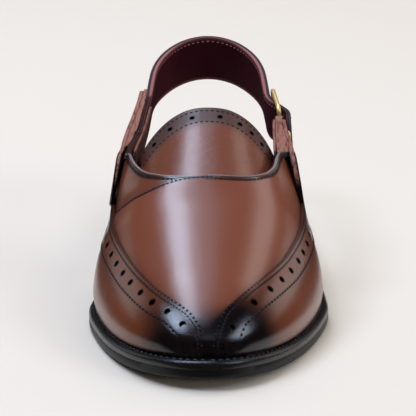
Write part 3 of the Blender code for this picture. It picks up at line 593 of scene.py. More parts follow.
def wingLine(side):  # the wing's free edge, up from the welt at the toe and back to the waist
    back = wingBack(side, np.ones(1))[0]
    rise = np.linspace(wing["low"], along(wingEdge, side, wing["front"]), 40)[:-1]
    run = wing["front"] + (back - wing["front"]) * np.linspace(0, 1, 600) ** wing["lineBias"]
    across = np.concatenate([np.full(rise.shape, wing["front"]), run])
    up = np.concatenate([rise, along(wingEdge, side, run)])
    return pick(np.stack([across, up], -1), evenly(skin(across, up), wing["linePitch"]))


def inward(places, sign):  # direction over the upper, away from an edge line
    ahead = unit(np.gradient(skin(*places.T), axis=0))
    return unit(np.cross(ahead, skinNormal(*places.T))) * sign


def offsetLine(places, sign, distance, lift, lowest=0.05):  # a line on the upper, a distance in from an edge line
    across, up = slide(*places.T, inward(places, sign), distance)
    keep = up > lowest
    across, up = across[keep], up[keep]
    return skin(across, up, lift), skinNormal(across, up), np.abs(across)


def grooves(fromEdge, look):  # shallow troughs that the two stitch rows lie in
    return -look["groove"] * sum(bell(fromEdge - look[row], grooveWide) for row in ("edgeStitch", "bandStitch"))


def punch(base, grids, keep, centre, facing, radius, cut):  # opens one round hole and darkens its rim
    cells = (base[:-1, :-1] + base[1:, :-1] + base[:-1, 1:] + base[1:, 1:]) / 4
    away = cells - centre
    flat = away - (away @ facing)[..., None] * facing
    hole = (np.linalg.norm(flat, axis=-1) < radius) & (np.abs(away @ facing) < punchDeep)
    keep &= ~hole
    inside = np.pad(hole, 1)
    corners = np.stack([inside[:-1, :-1], inside[:-1, 1:], inside[1:, :-1], inside[1:, 1:]])
    rim = corners.any(0) & ~corners.all(0)
    for grid in grids:
        away = grid[rim] - centre
        deep = (away @ facing)[:, None] * facing
        grid[rim] = centre + deep + unit(away - deep) * radius
    reach = np.linalg.norm(base - centre, axis=-1)
    np.maximum(cut, bell(np.maximum(reach - radius, 0), punchInk), out=cut)


wingEdges, edgeSeams, bandSeams, edgeDots = {}, [], [], []
wingTop = wing["gap"] + wing["thick"]
for side, sign in sides:
    edge = wingEdges[side] = wingLine(side) * (sign, 1)
    share = 1 - np.linspace(1, 0, wing["rows"]) ** wing["rowBias"]  # rows close up towards the edge
    run = np.linspace(0, 1, wing["columns"]) ** wing["columnBias"]
    across = wing["front"] + (wingBack(side, share) - wing["front"])[:, None] * run[None]
    up = wing["low"] + (along(wingEdge, side, across) - wing["low"]) * share[:, None]
    base, normal = skin(across * sign, up), skinNormal(across * sign, up)
    fromEdge = fromPlaces(base, edge)
    outer, inner = raised(base, normal, wingTop + grooves(fromEdge, wing)), raised(base, normal, wing["gap"])
    holeLine, holeNormal, holeAcross = offsetLine(edge, sign, wing["holeRow"], 0.0)
    holes = np.interp(wingHoles[side], holeAcross, np.arange(len(holeAcross)))
    toeHole = np.array([toeHoles[side]]) * (sign, 1)
    centres = np.concatenate([pick(holeLine, holes), skin(*toeHole.T)])
    facings = unit(np.concatenate([pick(holeNormal, holes), skinNormal(*toeHole.T)]))
    keep = np.ones((wing["rows"] - 1, wing["columns"] - 1), bool)
    cut = np.max([share * bell(fromEdge - wing[row], wide) for row, (share, wide) in wingInk.items()], axis=0)
    for centre, facing in zip(centres, facings):
        punch(base, (outer, inner), keep, centre, facing, wing["holeRadius"], cut)
    # the toe and band are rubbed darker; the foot term is painted shade just above the welt
    band = fade(fromEdge, wing["bandStitch"], wingWearAndShade["bandFade"])
    toe = np.maximum(toeShade(base, toeBurnish), wingWearAndShade["cloud"] * toeShade(base, toeCloud))
    foot = bell(base[..., 2] - weltTop(base[..., 1]), wingWearAndShade["footHigh"])
    wearAndShade = 1 - (1 - toe) * (1 - wingWearAndShade["band"] * band) * (1 - wingWearAndShade["foot"] * foot)
    masks = dict(wearAndShade=wearAndShade, thin=thinShade(base) * (1 - toe), ink=cut)
    name = "wing" + side.capitalize()
    shellPiece(name, outer, inner, calfLeather, masks, wing["bevel"], ("wing_" + side,), keep)
    edgeSeams.append(offsetLine(edge, sign, wing["edgeStitch"], wingTop - wing["groove"]))
    bandSeams.append(offsetLine(edge, sign, wing["bandStitch"], wingTop - wing["groove"], wing["bandLow"]))
    # dark dots along the gimped edge, painted shade of its notches
    edgeDots.append(offsetLine(edge, sign, wing["edgeDots"], wingTop - wing["dotSink"]))
stitchPiece("wingEdgeStitches", edgeSeams, edgeThread, darkThread)
stitchPiece("wingBandStitches", bandSeams, bandThread, darkThread)
stitchPiece("wingEdgeDots", edgeDots, edgeDot, darkThread)
print("wings ready")

# Upper: the main panel laps over the medial quarter, both backed by a lining

upper = dict(
    wall=2.4, leather=1.4, proud=0.3, lap=0.85, lapFade=18.0, underlap=8.0, lapEnd=152.0, lapThin=8.5, lapThinReach=4.0,
    lapClear=0.06, lapTurn=12.0, lapStitch=0.9, edgeStitch=2.1, rows=150, bias=1.6, columnPitch=0.9, rimWide=1.6,
    rimRise=0.55, rimStop=5.0, bevel=0.4, liningRows=90, liningBevel=0.3, liningShort=0.25, liningGap=0.08,
    liningToe=0.5,
)
quarter = dict(start=88, rows=70, bias=1.4, rimShift=2.0, inkShift=9.0, folds=0.6)
crossing = dict(  # where the main panel ends on the medial side, by angle
    degrees=[90, 101.4, 111, 120, 127, 135.5, 146, 160, 180],
    station=[103.7, 103.0, 101.4, 99.6, 99.9, 101.8, 108.0, 118.0, 130.0],
)
piping = dict(radius=0.72, sink=0.15, around=12)  # round edge along the throat, painted pale grey as its highlight
upperThread = dict(pitch=2.0, length=1.75, width=0.8, rise=0.34, lift=0.0, slant=0.1)
upperInk = dict(seam=0.95, seamWide=0.75, edge=0.8, edgeWide=1.6)
panelWearAndShade = dict(tip=0.95, wing=0.5, wingReach=1.6, edge=0.2, edgeReach=2.0, thin=0.25)
quarterWearAndShade = dict(all=0.18, lap=0.45, lapReach=2.0, edge=0.35, edgeReach=2.5, wing=0.4, wingReach=3.5)
softFolds = [  # soft troughs: middle across and up, direction, half-length, half-width, depth
    dict(at=(-0.30, 0.62), aim=(0.9, 0.35), reach=0.20, wide=0.035, deep=0.07),
    dict(at=(0.34, 0.60), aim=(0.9, -0.40), reach=0.20, wide=0.035, deep=0.07),
    dict(at=(0.05, 0.68), aim=(1.0, 0.05), reach=0.30, wide=0.030, deep=0.05),
    dict(at=(-0.18, 0.42), aim=(0.5, 0.9), reach=0.18, wide=0.040, deep=-0.05),
]


def vampRear(degrees):
    low = np.minimum(degrees, 180 - degrees)
    return np.where(degrees <= 90, along(rearEdge, "lateral", low), along(rearEdge, "medial", low))


def panelRear(degrees):
    return np.where(degrees <= 90, vampRear(degrees), along(crossing, "station", degrees))


def liningRear(degrees):  # the lining stops just short of the leather
    return vampRear(degrees) - upper["liningShort"]


def tipFront(degrees):
    return np.full(degrees.shape, vampForm["tip"])


def lapFront(degrees):  # the quarter starts under the main panel
    return along(crossing, "station", np.maximum(degrees, 90)) - upper["underlap"]


def edgeColumns(rear, start, end):  # angles that divide an edge into even steps
    degrees = np.linspace(start, end, 4000)
    places = evenly(vampPoint(rear(degrees), degrees), upper["columnPitch"])
    return np.interp(places, np.arange(len(degrees)), degrees)


def foldLift(across, up):
    lift = np.zeros(np.shape(across))
    for fold in softFolds:
        aim = np.array(fold["aim"]) / np.hypot(*fold["aim"])
        dx, dy = across - fold["at"][0], up - fold["at"][1]
        run, off = dx * aim[0] + dy * aim[1], dy * aim[0] - dx * aim[1]
        lift -= fold["deep"] * bell(run, fold["reach"]) * bell(off, fold["wide"])
    return lift


def edgePlaces(rear, start, end):  # an edge line as flat places
    degrees = edgeColumns(rear, start, end)
    reach = flatReach(rear(degrees))
    return np.stack([reach * np.cos(np.radians(degrees)), reach * np.sin(np.radians(degrees))], -1)


def upperSheet(rear, front, start, rows, bias):  # grid from a front line to an edge, with rows closer at the edge
    degrees = edgeColumns(rear, start, 180)
    share = 1 - np.linspace(1, 0, rows) ** bias
    near, far = flatReach(front(degrees)), flatReach(rear(degrees))
    reach = near[None] + (far - near)[None] * share[:, None]
    across, up = reach * np.cos(np.radians(degrees)), reach * np.sin(np.radians(degrees))
    return across, up, skin(across, up), skinNormal(across, up)


def underWing(across, up):  # 1 where a wing covers the upper
    limit = np.where(across > 0, along(wingEdge, "lateral", across), along(wingEdge, "medial", -across))
    return ease((limit - up - wing["coverStart"]) / wing["coverReach"]) * (np.abs(across) > wing["front"])


def wingShade(points, reach):  # painted shadow beside the wings' edges
    shades = [np.exp(-fromPlaces(points, wingEdges[side][::2]) / reach) for side, sign in sides]
    return np.maximum(*shades)


def edgeInk(fromEdge, fromLap):  # dark line under the stitches, and the whole cut edge where the panel laps
    seam = upperInk["seam"] * bell(fromEdge - upper["edgeStitch"], upperInk["seamWide"])
    edge = upperInk["edge"] * bell(fromEdge, upperInk["edgeWide"], 4)
    return np.maximum(np.maximum(seam, edge), bell(fromLap, upperInk["edgeWide"], 4))


def rimLift(fromEdge, fromLap):  # rolled rim along the throat, flat where the panel laps
    half = upper["rimWide"] / 2
    bead = np.sqrt(np.clip(1 - ((fromEdge - half) / half) ** 2, 0, 1))
    return upper["rimRise"] * bead * (1 - bell(fromLap, upper["rimStop"]))


panelEdge, quarterEdge = edgePlaces(panelRear, 0, 90), edgePlaces(vampRear, 90, 180)
lapEdge = edgePlaces(panelRear, 90, upper["lapEnd"])

across, up, base, normal = upperSheet(panelRear, tipFront, 0, upper["rows"], upper["bias"])
fromEdge, fromLap, covered = fromPlaces(base, panelEdge), fromPlaces(base, lapEdge), underWing(across, up)
lift = upper["proud"] + upper["lap"] * fade(fromLap, 0, upper["lapFade"]) * (1 - covered) + foldLift(across, up)
lift = lift + rimLift(fromEdge, fromLap)
thinned = (upper["leather"] + upper["lapClear"]) * fade(fromLap, upper["lapThin"], upper["lapThinReach"])
# the tip is burnished and the throat edge darker; beside the wings' edges a painted shadow, and painted shade where the
# wings cover the panel
wearAndShade = panelWearAndShade["tip"] * toeShade(base, tipBurnish) + panelWearAndShade["wing"] * wingShade(base, panelWearAndShade["wingReach"])
wearAndShade = wearAndShade + panelWearAndShade["edge"] * np.exp(-fromEdge / panelWearAndShade["edgeReach"]) + covered
masks = dict(wearAndShade=np.clip(wearAndShade, 0, 1), thin=panelWearAndShade["thin"] * thinShade(base))
masks["ink"] = np.maximum(edgeInk(fromEdge, fromLap), covered)
outer, inner = raised(base, normal, lift), raised(base, normal, thinned - upper["leather"])
shellPiece("vampPanel", outer, inner, calfLeather, masks, upper["bevel"], ("upper",))

across, up, base, normal = upperSheet(vampRear, lapFront, quarter["start"], quarter["rows"], quarter["bias"])
fromEdge, fromLap = fromPlaces(base, quarterEdge), fromPlaces(base, lapEdge)
lift = rimLift(fromEdge, fromLap + quarter["rimShift"]) + foldLift(across, up) * quarter["folds"]
# darker overall, beside the lap and along the throat edge, with a painted shadow beside the wing's edge
wearAndShade = quarterWearAndShade["all"] + quarterWearAndShade["lap"] * np.exp(-fromLap / quarterWearAndShade["lapReach"])
wearAndShade = wearAndShade + quarterWearAndShade["edge"] * np.exp(-fromEdge / quarterWearAndShade["edgeReach"])
wearAndShade = wearAndShade + quarterWearAndShade["wing"] * wingShade(base, quarterWearAndShade["wingReach"])
masks = dict(wearAndShade=np.clip(wearAndShade, 0, 1), ink=edgeInk(fromEdge, fromLap + quarter["inkShift"]))
outer, inner = raised(base, normal, lift), raised(base, normal, -upper["leather"])
shellPiece("medialQuarter", outer, inner, calfLeather, masks, upper["bevel"])

across, up, base, normal = upperSheet(liningRear, tipFront, 0, upper["liningRows"], upper["bias"])
masks = dict(wearAndShade=upper["liningToe"] * toeShade(base, toeBurnish))
outer, inner = (raised(base, normal, -deep) for deep in (upper["leather"] + upper["liningGap"], upper["wall"]))
shellPiece("vampLining", outer, inner, liningLeather, masks, upper["liningBevel"])


def lapRise(points, height):  # the main panel stands up along its lap, the quarter doesn't
    return height + (upper["lap"] * fade(fromPlaces(points, lapEdge), 0, upper["lapFade"]) if height else 0.0)


upperSeams = []
for places, height in ((edgePlaces(panelRear, 3, 150), upper["proud"]), (edgePlaces(vampRear, 96, 177), 0.0)):
    inset = np.full(len(places), upper["edgeStitch"])
    if height:
        lapSide = ease((90 - np.degrees(np.arctan2(places[:, 1], places[:, 0]))) / upper["lapTurn"])
        inset = upper["lapStitch"] + (upper["edgeStitch"] - upper["lapStitch"]) * lapSide
    across, up = slide(*places.T, inward(places, -1), inset)
    rise = lapRise(skin(across, up), height) + foldLift(across, up)
    upperSeams.append((skin(across, up, rise), skinNormal(across, up)))
stitchPiece("upperStitches", upperSeams, upperThread, darkThread)
for name, start, end, height in (
    ("throatPipingLateral", 45, 90, upper["proud"]), ("throatPipingMedial", 91, 135, 0.0)
):
    places = edgePlaces(vampRear, start, end)
    line = skin(*places.T, lapRise(skin(*places.T), height) - piping["sink"])
    facing = skinNormal(*places.T)
    tubePiece(name, line, piping["radius"], pipingHighlightLeather, piping["around"], facing=facing)
print("upper ready")

# Tongue: domed flap with a punched and stitched border

tongue = dict(
    drift=1.8, front=88.0, back=150.3, sweep=(9.5, 5.0), lowAngle=38.0, leather=1.15, wall=2.0, liningGap=0.06,
    rows=130, columns=190, rowBias=1.4, bevel=0.3, liningBevel=0.25, edgeInk=0.45, edgeStitch=2.2, holeRow=6.0,
    bandStitch=9.6, groove=0.06, seamEnd=0.93, seamSink=0.6, holeRadius=1.25,
    holes=(-0.85, -0.652, -0.456, -0.193, 0.147, 0.397, 0.55, 0.69, 0.85),
)
tongueRub = dict(all=0.1, border=0.6, start=7.0, fade=8.0, lining=0.3)
tongueTable = dict(station=[88, 105, 125, 150], half=[45.0, 43.5, 42.2, 41.0], ridge=[53.6, 60.6, 70.8, 84.2])
tongueSquare = 2.3
tongueThread = dict(pitch=2.4, length=1.8, width=0.6, rise=0.28, lift=0.0, slant=0.1)


def tonguePoint(station, degrees):
    foot = weltTop(station)
    across, rise = arch(degrees, tongueSquare)
    x = along(tongueTable, "half", station) * across - tongue["drift"] * np.cos(np.radians(degrees)) ** 2
    return np.stack([x, station, foot + (along(tongueTable, "ridge", station) - foot) * rise], -1)


def tonguePlace(share, depth):  # across -1 to 1, and back from the free edge in stations
    degrees = 90 - (90 - tongue["lowAngle"]) * share
    return tongue["back"] - np.where(share < 0, *tongue["sweep"]) * share**2 - depth, degrees


def tongueNormal(station, degrees):
    ahead = tonguePoint(station + 0.3, degrees) - tonguePoint(station - 0.3, degrees)
    rise = tonguePoint(station, degrees + 0.4) - tonguePoint(station, degrees - 0.4)
    return unit(np.cross(ahead, rise))


def tongueOffset(distance, lift=0.0):  # line on the tongue, a distance in from its free edge
    depth = np.full(tongueShares.shape, distance)
    for _ in range(6):
        depth += distance - nearest(tonguePoint(*tonguePlace(tongueShares, depth)), tongueLine)
    place = tonguePlace(tongueShares, depth)
    return raised(tonguePoint(*place), tongueNormal(*place), lift), tongueNormal(*place)


tongueShares = np.linspace(-tongue["seamEnd"], tongue["seamEnd"], 240)
edgeStation, edgeDegrees = tonguePlace(np.linspace(-1, 1, tongue["columns"]), 0.0)
steps = np.linspace(1, 0, tongue["rows"]) ** tongue["rowBias"]
station = edgeStation[None] - (edgeStation - tongue["front"])[None] * steps[:, None]
degrees = np.broadcast_to(edgeDegrees, station.shape)
base, normal = tonguePoint(station, degrees), tongueNormal(station, degrees)
tongueLine = tonguePoint(edgeStation, edgeDegrees)
fromEdge = nearest(base, tongueLine)
outer, inner = raised(base, normal, grooves(fromEdge, tongue)), raised(base, normal, -tongue["leather"])
holeLine, holeNormal = tongueOffset(tongue["holeRow"])
keep = np.ones((tongue["rows"] - 1, tongue["columns"] - 1), bool)
edgeCut = bell(fromEdge, tongue["edgeInk"])
cut = edgeCut.copy()
for place in np.interp(tongue["holes"], tongueShares, np.arange(len(holeLine))):
    centre, facing = pick(holeLine, [place])[0], unit(pick(holeNormal, [place])[0])
    punch(base, (outer, inner), keep, centre, facing, tongue["holeRadius"], cut)
border = fade(fromEdge, tongueRub["start"], tongueRub["fade"])
masks = dict(wearAndShade=tongueRub["all"] + tongueRub["border"] * border, ink=cut)
shellPiece("tongueFlap", outer, inner, tongueLeather, masks, tongue["bevel"], ("tongue",), keep)
masks = dict(wearAndShade=np.full(border.shape, tongueRub["lining"]), ink=edgeCut)
outer, inner = (raised(base, normal, -deep) for deep in (tongue["leather"] + tongue["liningGap"], tongue["wall"]))
shellPiece("tongueLining", outer, inner, liningLeather, masks, tongue["liningBevel"])
seamLift = -tongue["groove"] * tongue["seamSink"]
tongueSeams = [tongueOffset(tongue[row], seamLift) for row in ("edgeStitch", "bandStitch")]
stitchPiece("tongueStitches", tongueSeams, tongueThread, darkThread)
print("tongue ready")

# Straps: forked side straps that grip the ears, and the heel strap through its buckle

strap = dict(
    front=132.0, back=282.0, top=66.8, rise=23.5, curve=1.5, plyHeight=60.0, step=0.8, mouth=122.0, innerMouth=133.4,
    outerLean=0.06, mouthLean=0.1, leanStart=130.0, leanReach=25.0, innerLean=0.08, mouthDrop=1.2, dropReach=3.0,
    innerPly=1.8, innerThin=0.5, innerLevel=140.0, seams=(2.2, 18.2), seamStart=12, radius=0.5, innerInk=0.35,
)
# where the straps darken: inked front ends with painted shade (mouth, grip), painted shade on the plies' inner faces
# (back), inked cut-edge corners (lips), painted shade round the buckle's bar (buckle)
strapShade = dict(mouth=(123.2, 1.5), back=(137.0, 3.0), lips=(134.0, 2.0), grip=(136.0, 1.5), buckle=(180.5, 1.5))
strapCore = dict(
    sink=0.12, thin=1.2, less=1.5, fullStart=145.0, fullReach=7.0, tuck=0.35, clear=0.05, radius=0.3, heelClear=0.3
)
# a leather strip in the gap beside the medial inner ply, painted dark as its shade
gapShade = dict(stop=0.5, share=0.55, wider=0.35, start=138.0, reach=20.0, sink=0.7, dark=0.93)
lateralStrap = dict(
    station=[122, 124, 126, 128, 131, 134, 140, 146, 151, 157, 166, 174, 181, 186, 190.5],
    inner=[30.4, 30.4, 30.4, 30.4, 30.4, 30.4, 30.4, 30.5, 30.6, 30.7, 30.8, 31.0, 31.3, 31.8, 31.9],
    outer=[41.4, 41.4, 41.3, 41.2, 41.0, 40.8, 40.2, 39.7, 39.3, 38.7, 37.9, 37.4, 37.2, 37.4, 37.3],
    ply=[3.0, 3.1, 3.2, 3.2, 3.1, 2.9, 2.4, 2.0, 1.8, 1.8, 1.8, 1.8, 1.6, 1.4, 1.25],
    drop=[15.5, 9.5, 5.4, 2.3, 0.5, 0, 0, 0, 0, 0, 0, 0, 0.3, 0.9, 0.9],
    innerDeep=[8, 8, 8, 8, 8, 8, 8, 11, 18, 21, 21, 21, 20.7, 20.1, 20.1],
    outerDeep=[21, 22.2, 22.4, 22.4, 22.3, 22, 21.2, 20.8, 20.8, 21, 21, 21, 20.7, 20.1, 20.1],
)
medialStrap = dict(
    station=[122, 124, 126, 128, 131, 134, 140, 146, 151, 157, 163, 170, 180, 190, 202, 212, 217.5, 219],
    inner=[33.6, 33.6, 33.6, 33.6, 33.6, 33.6, 33.2, 32.6, 32.0, 31.2, 30.5, 29.8, 28.9, 28.3, 27.4, 26.8, 26.6, 26.6],
    outer=[42, 42.2, 42.4, 42.5, 42.4, 42.1, 41.2, 40.5, 40.2, 39.7, 39.2, 38.6, 37.4, 36.3, 35.1, 34.3, 34, 33.9],
    ply=[1.6, 1.8, 2.1, 2.3, 2.4, 2.3, 2.0, 1.8, 1.8, 1.8, 1.8, 1.9, 1.9, 1.9, 1.9, 1.9, 1.9, 1.9],
    drop=[15.5, 9.5, 5.4, 2.3, 0.5, 0, 0, 0, 0, 0, 0, 0, 0, 0, 0, 0, 0.6, 2.0],
    innerDeep=[8, 8, 8, 8, 8, 8, 8, 11, 16, 18, 17, 13, 8.5, 5.5, 4, 4, 4, 4],
    outerDeep=[21, 22.2, 22.4, 22.4, 22.3, 22, 21.2, 20.8, 20.8, 21, 21, 21, 21, 21, 21, 21, 20.4, 19],
)
medialEnds = dict(outer=219.0, inner=197.0, core=218.2)
lateralEnds = dict(outer=190.5, inner=190.5, core=186.0)
heelStrap = dict(
    thick=2.2, fuller=0.6, fullerStart=200.0, fullerReach=25.0, leather=1.2, layerGap=0.04, squeeze=0.15, end=166.0,
    round=48.0, drop=0.5, width=20.0, spread=2.5, spreadStart=225.0, spreadReach=45.0, lean=0.08, tipTrim=5.5,
    tipRound=6.0, seam=2.2, radius=0.4, liningRadius=0.3,
)
heelShade = dict(end=(210.0, 3.0), buckle=(202.0, 6.0), deep=0.85, backStart=262.0, backReach=15.0, back=0.55)
heelPath = dict(
    station=[166, 178, 190, 202, 212, 223, 240, 282], half=[33.9, 32.8, 32.1, 31.1, 30.5, 30.1, 29.2, 28.6]
)
tailPath = dict(
    station=[180.6, 182.5, 186, 190.5, 194, 198, 202, 206, 210, 215],
    half=[39.7, 39.8, 39.9, 39.9, 39.2, 37.2, 34.9, 32.6, 31.2, 30.5],
)
strapThread = dict(pitch=2.6, length=2.0, width=0.6, rise=0.28, lift=0.0, slant=0.1)
roseLook = dict(strapThread, width=0.7)


def strapLine(station):  # height of the straps' top edge
    share = np.maximum(station - strap["front"], 0) / (strap["back"] - strap["front"])
    return strap["top"] + strap["rise"] * share ** strap["curve"]


def strapRun(start, end):
    return np.arange(start, end + 0.01, strap["step"])


def outerLean(stations):  # the outer plies lean in more at the mouth, with the ears
    return strap["outerLean"] + strap["mouthLean"] * fade(stations, strap["leanStart"], strap["leanReach"])


def mouthDrop(stations):  # rounds the top of the front ends
    return strap["mouthDrop"] * fade(stations, strap["innerMouth"], strap["dropReach"])


def mouthInkAndShade(stations):  # front ends painted black where the plies grip an ear: inked cut edges, and painted shade in the mouth
    return fade(stations, *strapShade["grip"])


def strapCorners(stations, sign, low, high, outerX, innerX, slopes):  # sections of a strap, outer face first
    corners = []
    for x, slope, levels in ((outerX, slopes[0], (low, high)), (innerX, slopes[1], (high, low))):
        for level in levels:
            corners.append(np.stack([sign * (x - slope * (level - strap["plyHeight"])), stations, level], -1))
    return np.stack(corners, 1)


def sideLine(corners, drop, sign):  # line on the outer face of a ply, below its top edge
    low, high = corners[:, 0], corners[:, 1]
    return high + unit(low - high) * drop, np.tile((sign, 0, 0), (len(corners), 1))


def heelHalf(station):
    return along(heelPath, "half", station) * rounded(strap["back"] - station, heelStrap["round"])


strapSeams = []
for side, sign, table, ends in (("Medial", -1, medialStrap, medialEnds), ("Lateral", 1, lateralStrap, lateralEnds)):
    stations = outerRun = strapRun(strap["mouth"], ends["outer"])
    top, lean = strapLine(stations), outerLean(stations)
    low, high = top - along(table, "outerDeep", stations), top - along(table, "drop", stations)
    face, ply = along(table, "outer", stations), along(table, "ply", stations)
    outerCorners = strapCorners(stations, sign, low, high, face, face - ply, (lean, lean))
    dark, backDark, lipDark = (fade(stations, *strapShade[part]) for part in ("mouth", "back", "lips"))
    strapSeams += [sideLine(outerCorners[strap["seamStart"]:], drop, sign) for drop in strap["seams"]]
    stations = strapRun(strap["innerMouth"], ends["inner"])
    top, face = strapLine(stations), along(table, "inner", stations)
    ply = np.minimum(along(table, "ply", stations), strap["innerPly"]) - strap["innerThin"]
    low = top - along(table, "innerDeep", stations)
    high = top - mouthDrop(stations) - along(table, "drop", np.maximum(stations, strap["innerLevel"]))
    slopes = (strap["innerLean"], strap["innerLean"])
    innerCorners = strapCorners(stations, sign, low, high, face + ply, face, slopes)[:, ::-1]
    innerDark = mouthInkAndShade(stations)
    if side == "Lateral":  # the outer ply folds round the buckle's bar and comes back as the inner one
        middle, across = (outerCorners[-1] + innerCorners[-1]) / 2, (outerCorners[-1] - innerCorners[-1]) / 2
        reach = np.linalg.norm(across, axis=1)[:, None]
        turns = np.radians(np.linspace(12, 168, 14))
        fold = [middle + across * math.cos(t) + reach * (0, math.sin(t), 0) for t in turns]
        outerCorners = np.concatenate([outerCorners, np.stack(fold), innerCorners[::-1]])
        # painted shade round the buckle's bar: the plies darken towards it and the fold is black
        dark = np.maximum(dark, 1 - fade(outerRun, *strapShade["buckle"]))
        innerDark = np.maximum(innerDark, 1 - fade(stations, *strapShade["buckle"]))
        dark = np.concatenate([dark, np.ones(len(fold)), innerDark[::-1]])
        rest = np.zeros(len(fold) + len(innerDark))
        backDark, lipDark = np.concatenate([backDark, rest]), np.concatenate([lipDark, rest])
    else:
        name, ink = "sideStrapMedialInner", strap["innerInk"]
        strapPiece(name, innerCorners, strapLeather, strap["radius"], innerDark, ink=ink)
    name, nodes = "sideStrap" + side, ("side_strap_" + side.lower(),)
    strapPiece(name, outerCorners, strapLeather, strap["radius"], dark, backDark, lipDark, nodes=nodes)
    # leather between the plies, thin over the ear, full behind it and on over the heel strap's end
    stations = strapRun(strap["innerMouth"], ends["core"])
    high = strapLine(stations) - strapCore["sink"] - mouthDrop(stations)
    full = 1 - fade(stations, strapCore["fullStart"], strapCore["fullReach"])
    low = high - strapCore["thin"] - (along(table, "outerDeep", stations) - strapCore["less"]) * full
    ply = along(table, "ply", stations)
    outside = along(table, "outer", stations) - ply
    inside = along(table, "inner", stations) + np.minimum(ply, strap["innerPly"]) - strapCore["tuck"]
    slopes, split = (outerLean(stations), strap["innerLean"]), inside
    if side == "Medial":  # a strip painted dark as the shade in the gap beside the inner ply, taken up further back by the heel strap's end
        ahead = stations < heelStrap["end"] - gapShade["stop"]
        share = gapShade["share"] + gapShade["wider"] * fade(stations, gapShade["start"], gapShade["reach"])
        behind = heelHalf(stations) + strapCore["heelClear"]
        split = np.where(ahead, share * outside + (1 - share) * inside, behind)
        edges = (low, high - gapShade["sink"], split - strapCore["clear"], inside)
        gap = strapCorners(stations, sign, *edges, slopes)[ahead]
        strapPiece("gapShadeMedial", gap, strapLeather, strapCore["radius"], gapShade["dark"])
    core = strapCorners(stations, sign, low, high, outside - strapCore["clear"], split, slopes)
    strapPiece("strapFilling" + side, core, strapLeather, strapCore["radius"], mouthInkAndShade(stations))

sideStations = np.arange(heelStrap["end"], strap["back"] - heelStrap["round"], 1.5)
turns = np.linspace(-np.pi / 2, np.pi / 2, 120)
backStations = strap["back"] - heelStrap["round"] * (1 - np.cos(turns))
lateral = sideStations[sideStations > tailPath["station"][-1] + 2][::-1]
tail = np.arange(tailPath["station"][-1], tailPath["station"][0], -0.8)
pathX = [-heelHalf(sideStations), heelHalf(backStations) * np.sign(turns), heelHalf(lateral)]
pathX.append(along(tailPath, "half", tail))
pathStation = np.concatenate([sideStations, backStations, lateral, tail])
path = np.stack([np.concatenate(pathX), pathStation], -1)
ahead = unit(np.gradient(path, axis=0))
inwardWay = np.stack([ahead[:, 1], -ahead[:, 0]], -1)
heelTop = strapLine(pathStation) - heelStrap["drop"]
heelWide = heelStrap["spread"] * ease((pathStation - heelStrap["spreadStart"]) / heelStrap["spreadReach"])
heelWide = heelStrap["width"] + heelWide
fromTip = np.concatenate([[0], np.cumsum(np.linalg.norm(np.diff(path[::-1], axis=0), axis=1))])[::-1]
trim = heelStrap["tipTrim"] * (1 - rounded(fromTip, heelStrap["tipRound"]))


def heelCorners(near, far, squeeze=0.0):  # corners of one layer of the heel strap
    low, high = heelTop - heelWide + trim + squeeze, heelTop - trim - squeeze
    corners = []
    for depth, level in ((near, low), (near, high), (far, high), (far, low)):
        shift = depth + heelStrap["lean"] * (level - (heelTop - heelWide / 2))
        corners.append(np.column_stack([path + inwardWay * shift[:, None], level]))
    return np.stack(corners, 1)


def layerSeam(corners, edge, other, outward):  # stitch line beside one edge of a layer, clear of its ends
    line = corners[:, edge] + unit(corners[:, other] - corners[:, edge]) * heelStrap["seam"]
    return line[3:-9], np.column_stack([inwardWay * outward, np.zeros(len(line))])[3:-9]


liningDeep = 1 - fade(pathStation, heelStrap["fullerStart"], heelStrap["fullerReach"])
liningDeep = heelStrap["thick"] + heelStrap["fuller"] * liningDeep
outerLayer = heelCorners(0.0, heelStrap["leather"])
innerLayer = heelCorners(heelStrap["leather"] + heelStrap["layerGap"], liningDeep, heelStrap["squeeze"])
endShade = heelShade["deep"] * fade(pathStation, *heelShade["end"]) * (path[:, 0] < 0)  # painted shade between the medial plies
# painted shade by the buckle on the lateral side; the lining's rim also darkens towards the back
buckleShade = heelShade["deep"] * fade(pathStation, *heelShade["buckle"]) * (path[:, 0] > 0)
backDark = heelShade["back"] * (1 - fade(pathStation, heelShade["backStart"], heelShade["backReach"]))
rimDark = np.max([endShade, buckleShade, backDark], axis=0)
strapPiece("heelStrap", outerLayer, heelLeather, heelStrap["radius"], endShade, nodes=("heel_strap",))
strapPiece("heelStrapLining", innerLayer, strapLining, heelStrap["liningRadius"], rimDark)
strapSeams += [layerSeam(outerLayer, 1, 0, -1), layerSeam(outerLayer, 0, 1, -1)]
stitchPiece("strapStitches", strapSeams, strapThread, darkThread)
stitchPiece("liningStitches", [layerSeam(innerLayer, 2, 3, 1)], roseLook, roseThread)
print("straps ready")

# Buckle and rivet

buckle = dict(
    wire=1.05, around=20, front=(34.5, 190.5), back=(32.1, 214.0), over=2.2, corner=2.6, prong=0.65, prongAround=12,
    prongEnd=(34.6, 216.0), eye=2.0, bow=0.5,
)
rivet = dict(
    station=174.0, drop=6.0, inner=33.0, outer=37.5, head=3.0, dome=1.6, rim=0.97, rimDeep=0.3, shank=1.3, shankDeep=0.4
)


def strapMiddle(station):
    return strapLine(station) - heelStrap["drop"] - heelStrap["width"] / 2


